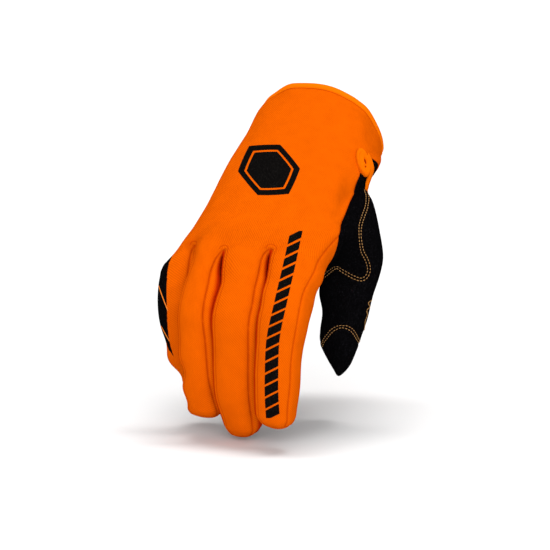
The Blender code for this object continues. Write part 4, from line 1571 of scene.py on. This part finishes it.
def film(grid, closed):
    """A grid of places in the picture, as a closed film over the cloth: its points and faces."""
    rows, columns = len(grid), len(grid[0])
    steps = columns if closed else columns - 1
    points = []
    for height in (PRINT_LIFT, PRINT_LIFT - PRINT_DEPTH):
        points.extend(surface.seen(x, y, height)[0] for row in grid for x, y in row)

    def number(row, column, layer):
        return layer * rows * columns + row * columns + column % columns

    faces = []
    for row in range(rows - 1):
        for column in range(steps):
            corners = [(row, column), (row + 1, column)]
            corners += [(row + 1, column + 1), (row, column + 1)]
            faces.append(tuple(number(*corner, 0) for corner in corners))
            faces.append(tuple(number(*corner, 1) for corner in reversed(corners)))
    border = [((row, step), (row, step + 1)) for row in (0, rows - 1) for step in range(steps)]
    if not closed:
        for column in (0, columns - 1):
            border.extend(((row, column), (row + 1, column)) for row in range(rows - 1))
    for first, second in border:
        ends = (first, 0), (second, 0), (second, 1), (first, 1)
        faces.append(tuple(number(*spot, layer) for spot, layer in ends))
    return points, faces


def within(places, outline):
    """Whether each place lies inside a closed outline."""
    found = np.zeros(len(places), bool)
    x, y = places[:, 0], places[:, 1]
    for (x0, y0), (x1, y1) in zip(outline, outline[1:] + outline[:1]):
        crosses = (y0 > y) != (y1 > y)
        with np.errstate(divide="ignore", invalid="ignore"):
            found ^= crosses & (x < (x1 - x0) * (y - y0) / (y1 - y0) + x0)
    return found


def to_outline(places, outline):
    """Each place's nearest point of a closed outline and its distance, in pixels."""
    starts = np.array(outline, float)
    steps = np.roll(starts, -1, axis=0) - starts
    away = places[:, None, :] - starts[None]
    shares = np.clip((away * steps).sum(-1) / (steps**2).sum(-1), 0, 1)
    spots = starts + shares[..., None] * steps
    far = np.sqrt(((places[:, None, :] - spots) ** 2).sum(-1))
    best = far.argmin(axis=1)
    every = np.arange(len(places))
    return spots[every, best], far[every, best]


# ------------------------------------------------------------------------------ the glove

# Places in the picture are in its pixels. A pixel is this long on the glove.
PIXEL = MM / 1.853

# The right edge of the little finger's black insert, its lower left edge, the part of the picture
# that it lies in, and the lines across it
LEAF_EDGE = (
    (172.5, 255), (169, 263), (167.5, 272), (166.6, 290), (166.8, 310), (167.5, 325),
    (168.8, 338), (171, 348), (174.5, 358),
)
LEAF_FOOT = ((150, 318), (161.5, 329), (164.5, 339), (168.5, 349), (174.5, 358), (200, 372))
LEAF_RIGHT, LEAF_TOP, LEAF_BOTTOM = 192, 240, 385
LEAF_LINES = (((158.8, 286), (163, 298), (168, 311)), ((161.2, 326), (165, 333), (169.6, 341)))
SUEDE_PANELS = ("palm_panel", "thumb_sleeve", "thumb_tip_cap")

# The stitch line round the patch, and the rest of the patch's outline
PATCH_LINE = (
    (365.4, 192), (366.6, 199), (365.3, 208), (362, 218), (359.3, 227), (358.9, 238), (361.3, 250),
    (365.8, 259), (368.1, 267.5), (366.5, 275), (361.5, 279), (354.5, 277.3), (346.5, 272.6),
    (341, 268.8), (336.8, 266), (332.5, 268.5), (326.5, 275.5),
)
PATCH_REST = [(322, 270), (330, 240), (345, 200), (352, 182), (368, 182)]
PATCH_MARGIN = 1.5
PATCH_SNAP = 3.0
PATCH_HEIGHT = 0.9 * MM
PATCH_FOOT = 0.12 * MM
PATCH_ROUND = 0.45 * MM
CAP_LINE = (
    (322, 345), (326.5, 337), (333.5, 329.5), (343, 326.5), (351.5, 330), (357, 338), (360.5, 346),
)
THUMB_LOOPS = (
    (371.5, 300), (368, 303), (369.5, 307), (366.5, 310), (367, 315), (365, 320), (364.5, 326),
    (363.5, 332),
)

# Stitches' pitch, length and thread, and half the way between the two rows of a seam
SEAM_STITCH = (1.65 * MM, 1.20 * MM, 0.36 * MM)
LOOP_STITCH = (1.30 * MM, 1.20 * MM, 0.42 * MM)
ROW_ASIDE = 0.72 * MM

# The hem tape: how far it lies past the rim, and its section's powers
TAPE_PAST = 0.04
TAPE_SQUARE = (0.7, 0.8)
TUBE_CORNERS = 20

# The strap's row of the lattice by column, its half width in rows, its lift and half thickness
STRAP_PATH = (
    (16, 5.3), (16.3, 5.6), (16.7, 6.1), (17.2, 6.6), (17.7, 6.9), (18.5, 6.8), (19.5, 6.5),
    (23, 5.9),
)
STRAP_HALF = 0.5
STRAP_RISE = 1.2 * MM
STRAP_DEEP = 0.9 * MM
STRAP_SQUARE = (0.6, 0.7)

# The tab: its ends in the picture, its rings as (reach, height), and its pits as (x, y, half
# width, half height), in shares of its size
TAB_TOP, TAB_FOOT = (359, 150.5), (365.5, 177.5)
TAB_HALF = 3.6 * MM
TAB_HEIGHT = 0.8 * MM
TAB_BOW = 0.5 * MM
TAB_PIT = 1.3 * MM
TAB_STEPS = 64
TAB_TURN = 0.9
TAB_RINGS = (
    (1.00, -0.8), (1.02, 0.3), (1.00, 1.2), (0.96, 1.9), (0.90, 2.3), (0.82, 2.45), (0.74, 2.3),
    (0.67, 1.9), (0.60, 1.7), (0.48, 1.65), (0.36, 1.65), (0.24, 1.65), (0.12, 1.65),
)
TAB_PITS = ((0.30, 0.06, 0.17, 0.24), (0.10, -0.34, 0.13, 0.09))

# The prints
PRINT_LIFT = 0.16 * MM
PRINT_DEPTH = 0.35 * MM
BAND = (
    (273, 418), (271.8, 400), (271.5, 380), (273, 340), (280.5, 303), (288.5, 268), (296.5, 231),
)
BARS = 16
BAR_HALF = (6.8, 4.9)
BAR_SLANT = 3.4
BAR_NARROWS = 0.12
BADGE = (269, 170)
BADGE_HALF = (32.0, 27.5)
BADGE_TURN = math.radians(24)
BADGE_CORNER = 0.85
BADGE_RINGS = ((0.0, 0.72, 9), (0.80, 1.0, 4))
BADGE_STEPS = 120

surface = Surface(lay_glove())
picture = in_picture(surface.points)
turned_away = surface.normals @ np.array(VIEW)


def line_distance(places, corners):
    """How far each place lies from a line of corners, in pixels."""
    edge = np.array(corners, float)
    shares = np.linspace(0, 1, 12, endpoint=False)[:, None]
    runs = [start * (1 - shares) + end * shares for start, end in zip(edge, edge[1:])]
    line = np.concatenate(runs + [edge[-1:]])
    return np.sqrt(((places[:, None, :] - line[None]) ** 2).sum(-1)).min(axis=1)


def leaf_distance():
    """How far each point lies outside the little finger's black insert, in metres."""
    found = np.full(len(surface.points), FAR_AWAY)
    side = surface.panels.index("pinky_side_panel")
    on_side = surface.own_points(surface.faces[surface.face_panel == side])
    x, y = picture.T
    wanted = np.nonzero(((x < LEAF_RIGHT) & (y > LEAF_TOP) & (y < LEAF_BOTTOM)) | on_side)[0]
    places = picture[wanted]
    x, y = places.T
    right, foot = np.array(LEAF_EDGE), np.array(LEAF_FOOT)
    past = x - np.interp(y, right[:, 1], right[:, 0])
    past = np.where(y < right[0, 1], 3.0, past)
    past = np.sign(past) * line_distance(places, LEAF_EDGE)
    past = np.where((turned_away[wanted] < 0.05) | ~on_side[wanted], past, -9.0)
    below = np.sign(y - np.interp(x, foot[:, 0], foot[:, 1])) * line_distance(places, LEAF_FOOT)
    found[wanted] = np.maximum(past, below) * PIXEL
    return found


def panels():
    twill = orange_cloth("orange twill")
    suede = black_suede("black suede", 2600.0, BLACK, BLACK_SPECK, 0.5)
    finish = dict.fromkeys(SUEDE_PANELS, suede)
    finish["back_panel"] = orange_cloth("orange twill back", leaf=True, hem=True)
    finish["pinky_side_panel"] = orange_cloth("little finger side", leaf=True)
    lining = plain("orange lining", LINING, 0.9, 0.0, 900.0)
    dark_lining = plain("black lining", DARK_LINING, 0.9, 0.0, 900.0)
    values = {"seam": surface.seam, "crease": surface.crease}
    more = {**values, "hem": surface.hem, "leaf": leaf_distance()}
    for number, name in enumerate(surface.panels):
        black = name in SUEDE_PANELS or name == "pinky_side_panel"
        mesh = shell(
            name + "_cloth",
            surface.face_panel == number,
            surface.inner,
            surface.outer,
            [finish.get(name, twill), dark_lining if black else lining],
            more if name in ("back_panel", "pinky_side_panel") else values,
        )
        piece(name + "_cloth", mesh, "black_suede" if black else "orange_cloth", name)


def cuff():
    """The turned hem round the cuff's opening."""
    rings = []
    for step in range(RING * 8):
        rim, normal = surface.at("hand", step / 8, 0.02)
        inside, _ = surface.at("hand", step / 8, 0.5)
        beyond = (rim - inside).normalized()
        out = (normal - beyond * normal.dot(beyond)).normalized()
        middle = rim + beyond * BINDING_HEIGHT * TAPE_PAST - out * WALL / 2
        ring = []
        for corner in range(TUBE_CORNERS):
            along, high = rolled(2 * math.pi * (corner + 0.5) / TUBE_CORNERS, *TAPE_SQUARE)
            along, high = along * BINDING_HEIGHT * 0.5, high * BINDING_THICKNESS * 0.56
            ring.append(middle + beyond * along + out * high)
        rings.append(ring)
    finish = plain("orange hem tape", TAPE, 0.9, 0.0, 1500.0, 0.06)
    solid("cuff_hem", *swept(rings, closed=True), finish, "orange_cloth", "cuff_binding")


def strap():
    """The moulded strap round the wrist's palm side."""
    first, last = STRAP_PATH[0][0], STRAP_PATH[-1][0]
    rings = []
    for column in np.linspace(first, last, 57):
        share = (column - first) / (last - first)
        row = np.interp(column, *zip(*STRAP_PATH))
        half = STRAP_HALF * min(1.0, 0.55 + 1.3 * share) * (1 if share < 0.97 else 0.9)
        ring = []
        for corner in range(TUBE_CORNERS):
            across, high = rolled(2 * math.pi * corner / TUBE_CORNERS, *STRAP_SQUARE)
            lift = STRAP_RISE + high * STRAP_DEEP
            ring.append(surface.at("hand", column, row + half * across, lift)[0])
        rings.append(ring)
    return swept(rings)


def tab():
    """The oval tab that the strap ends in: its points, its faces and each point's pit."""
    top, foot = surface.seen(*TAB_TOP)[0], surface.seen(*TAB_FOOT)[0]
    middle, out = surface.seen(*((a + b) / 2 for a, b in zip(TAB_TOP, TAB_FOOT)))
    long = (top - foot) / 2
    axis = long.normalized()
    out = (out - VIEW * TAB_TURN).normalized()
    out = (out - axis * out.dot(axis)).normalized()
    wide = axis.cross(out) * TAB_HALF
    rings, pits = [], []
    for reach, height in TAB_RINGS:
        ring = []
        for step in range(TAB_STEPS):
            angle = 2 * math.pi * step / TAB_STEPS
            x, y = math.cos(angle) * reach, math.sin(angle) * reach
            aways = [
                ((x - at_x) / half_x) ** 2 + ((y - at_y) / half_y) ** 2
                for at_x, at_y, half_x, half_y in TAB_PITS
            ]
            pit = math.exp(-(min(aways) ** 2))
            lift = height * TAB_HEIGHT + TAB_BOW * (1 - x * x) - pit * TAB_PIT + STRAP_LIFT
            ring.append(middle + wide * x + long * y + out * lift)
            pits.append(pit)
        rings.append(ring)
    points, faces = swept(rings, filled=False)
    last, end = len(points) - TAB_STEPS, len(points)
    for step in range(TAB_STEPS):
        after = (step + 1) % TAB_STEPS
        faces.append((last + step, last + after, end))
        faces.append((after, step, end + 1))
    points.append(middle + out * (TAB_RINGS[-1][1] * TAB_HEIGHT + TAB_BOW + STRAP_LIFT))
    points.append(middle - out * STRAP_LIFT)
    return points, faces, pits + [0.0, 0.0]


def closure():
    """The strap and its tab in one piece, because they are moulded together."""
    *tab_shape, pits = tab()
    strap_shape = strap()
    points, faces = joined([strap_shape, tab_shape])
    solid(
        "wrist_closure",
        points,
        faces,
        rubber_finish(),
        "orange_rubber",
        "closure_strap",
        values={"pit": [0.0] * len(strap_shape[0]) + pits},
    )


def saddle_patch():
    """The reinforcing patch between thumb and index finger, cut to its stitch line."""
    line = curve_through(PATCH_LINE, 120)
    outline = []
    for number, (x, y) in enumerate(line):
        (x0, y0), (x1, y1) = either_side(line, number)
        size = math.hypot(x1 - x0, y1 - y0) / PATCH_MARGIN
        outline.append((x + (y1 - y0) / size, y - (x1 - x0) / size))
    outline += PATCH_REST
    facing = turned_away < 0.15
    inside = within(picture, outline) & facing
    dark = [surface.panels.index(name) for name in ("palm_panel", "thumb_sleeve")]
    chosen = np.isin(surface.face_panel, dark) & (inside[surface.faces].sum(axis=1) >= 2)
    chosen &= facing[surface.faces].all(axis=1)
    used = np.unique(surface.faces[chosen])
    on_border = np.isin(used, np.unique(open_edges(surface.faces[chosen])))
    spots, far = to_outline(picture[used], outline)
    seam = surface.seam[used]
    base = surface.outer.copy()
    for number in np.nonzero(on_border & (far < PATCH_SNAP) & (seam > 0.3 * MM))[0]:
        hit, _ = surface.seen(*spots[number])
        if (hit - Vector(base[used[number]])).length < 2.5 * MM:
            base[used[number]] = hit
    edge = np.zeros(len(base))
    edge[used] = np.minimum(np.where(on_border, 0.0, far * PIXEL), seam + 0.3 * MM)
    height = PATCH_HEIGHT * (1 - np.exp(-edge / PATCH_ROUND)) + PATCH_FOOT
    top = base + surface.normals * height[:, None]
    under = base - surface.normals * 0.3 * MM
    material = black_suede("black patch", 1900.0, BLACK, PATCH_SPECK, 0.7)
    mesh = shell("thumb_patch", chosen, under, top, [material], {"seam": surface.seam})
    piece("thumb_patch", mesh, "black_patch", "thumb_saddle_patch")


def stitching():
    tan = plain("tan thread", TAN, 0.7, 0.15, 4000.0, 0.3, 0.4)
    for name, corners, count, lift in (
        ("patch_stitches", PATCH_LINE, 160, 0.95 * MM),
        ("thumb_cap_stitches", CAP_LINE, 80, 0.10 * MM),
    ):
        middle = traced(corners, count)
        rows = [beside(middle, side * ROW_ASIDE, lift) for side in (-1, 1)]
        stitched(name, rows, SEAM_STITCH, tan)
    stitched("thumb_side_stitches", [traced(THUMB_LOOPS, 60, 0.25 * MM)], LOOP_STITCH, tan)


def badge():
    """A plain six-sided badge with a rim, as grids of places in the picture."""
    flat = math.cos(math.pi / 6) ** BADGE_CORNER
    across, down = math.cos(BADGE_TURN), math.sin(BADGE_TURN)
    for inner, outer, rings in BADGE_RINGS:
        grid = []
        for reach in np.linspace(inner, outer, rings):
            row = []
            for step in range(BADGE_STEPS):
                angle = 2 * math.pi * step / BADGE_STEPS
                sector = (angle + math.pi / 6) % (math.pi / 3) - math.pi / 6
                size = reach * (1 / math.cos(sector)) ** BADGE_CORNER * flat
                x = size * BADGE_HALF[0] * math.cos(angle)
                y = size * BADGE_HALF[1] * math.sin(angle)
                row.append((BADGE[0] + x * across - y * down, BADGE[1] + x * down + y * across))
            grid.append(row)
        yield grid


def bars():
    """Slanted bars along the index finger, as grids of places in the picture."""
    line = curve_through(BAND, 400)
    lengths = np.cumsum([0] + [math.dist(start, end) for start, end in zip(line, line[1:])])
    for bar in range(BARS):
        grid = []
        middle = (bar + 0.5) / BARS * lengths[-1]
        narrow = 1 - BAR_NARROWS * bar / BARS
        for across in np.linspace(-1, 1, 9):
            row = []
            for along in np.linspace(-1, 1, 5):
                at = middle + along * BAR_HALF[1] * narrow + across * BAR_SLANT
                at = min(max(at, 0), lengths[-1])
                x, y = (np.interp(at, lengths, [spot[axis] for spot in line]) for axis in (0, 1))
                row.append((x + across * BAR_HALF[0] * narrow, y))
            grid.append(row)
        yield grid


def prints():
    material = black_suede("black print", 2200.0, PRINT_BLACK, PRINT_SPECK, 0.3)
    for name, grids, closed in (("back_badge", badge(), True), ("index_bars", bars(), False)):
        shape = joined(film(grid, closed) for grid in grids)
        solid(name, *shape, material, "black_patch")


def leaf_piping():
    """Two fine orange lines across the little finger's black insert."""
    tubes = []
    for corners in LEAF_LINES:
        line = traced(corners, 24, 0.1 * MM)
        rings = []
        for number, point in enumerate(line):
            before, after = either_side(line, number)
            _, normal = surface.on(point)
            side = normal.cross((after - before).normalized()) * 0.28 * MM
            angles = [2 * math.pi * corner / 8 for corner in range(8)]
            rings.append(
                [point + side * math.cos(a) + normal * math.sin(a) * 0.22 * MM for a in angles]
            )
        tubes.append(swept(rings))
    solid("leaf_piping", *joined(tubes), plain("orange piping", PIPING, 0.8, 0.0), "orange_cloth")


panels()
cuff()
closure()
saddle_patch()
stitching()
prints()
leaf_piping()


# ------------------------------------------------------------------------------ light and camera

SKY = 0.58
FRONT_LIGHT = ("front_light", (-0.06, 0.95, -0.10), 60, 4.5)
OVERHEAD_STEP = math.radians(8)
OVERHEAD_SPREAD = 15
OVERHEAD_STRENGTH = 0.54
FLOOR_GREY = (0.68, 0.68, 0.68, 1)
FLOOR_SIDE = 60.0


def studio():
    scene = bpy.context.scene
    scene.world = bpy.data.worlds.new("studio")
    scene.world.use_nodes = True
    background = scene.world.node_tree.nodes["Background"]
    background.inputs["Color"].default_value = (1, 1, 1, 1)
    background.inputs["Strength"].default_value = SKY

    lamps = [FRONT_LIGHT]
    for number in range(5):
        aim = (math.tan(OVERHEAD_STEP * (number - 2)) - 0.07, -0.21, -1.0)
        lamps.append((f"overhead_light_{number + 1}", aim, OVERHEAD_SPREAD, OVERHEAD_STRENGTH))
    for name, aim, spread, strength in lamps:
        light = bpy.data.lights.new(name, "SUN")
        light.angle = math.radians(spread)
        light.energy = strength
        placed(name, light).rotation_euler = Vector(aim).to_track_quat("-Z", "Y").to_euler()

    mesh = bpy.data.meshes.new("floor")
    ends = (-FLOOR_SIDE, FLOOR_SIDE)
    corners = [(x, y, FLOOR) for y in ends for x in ends]
    mesh.from_pydata(corners, [], [(0, 1, 3, 2)])
    material, _, shader = blank("white floor", 0.9, 0.0)
    shader.inputs["Base Color"].default_value = FLOOR_GREY
    mesh.materials.append(material)
    placed("floor", mesh)

    data = bpy.data.cameras.new("camera")
    data.lens, data.sensor_width = LENS, SENSOR
    scene.camera = placed("camera", data)
    scene.camera.location = CAMERA_PLACE
    scene.camera.rotation_euler = VIEW.to_track_quat("-Z", "Y").to_euler()
    scene.view_settings.view_transform = "Standard"


studio()
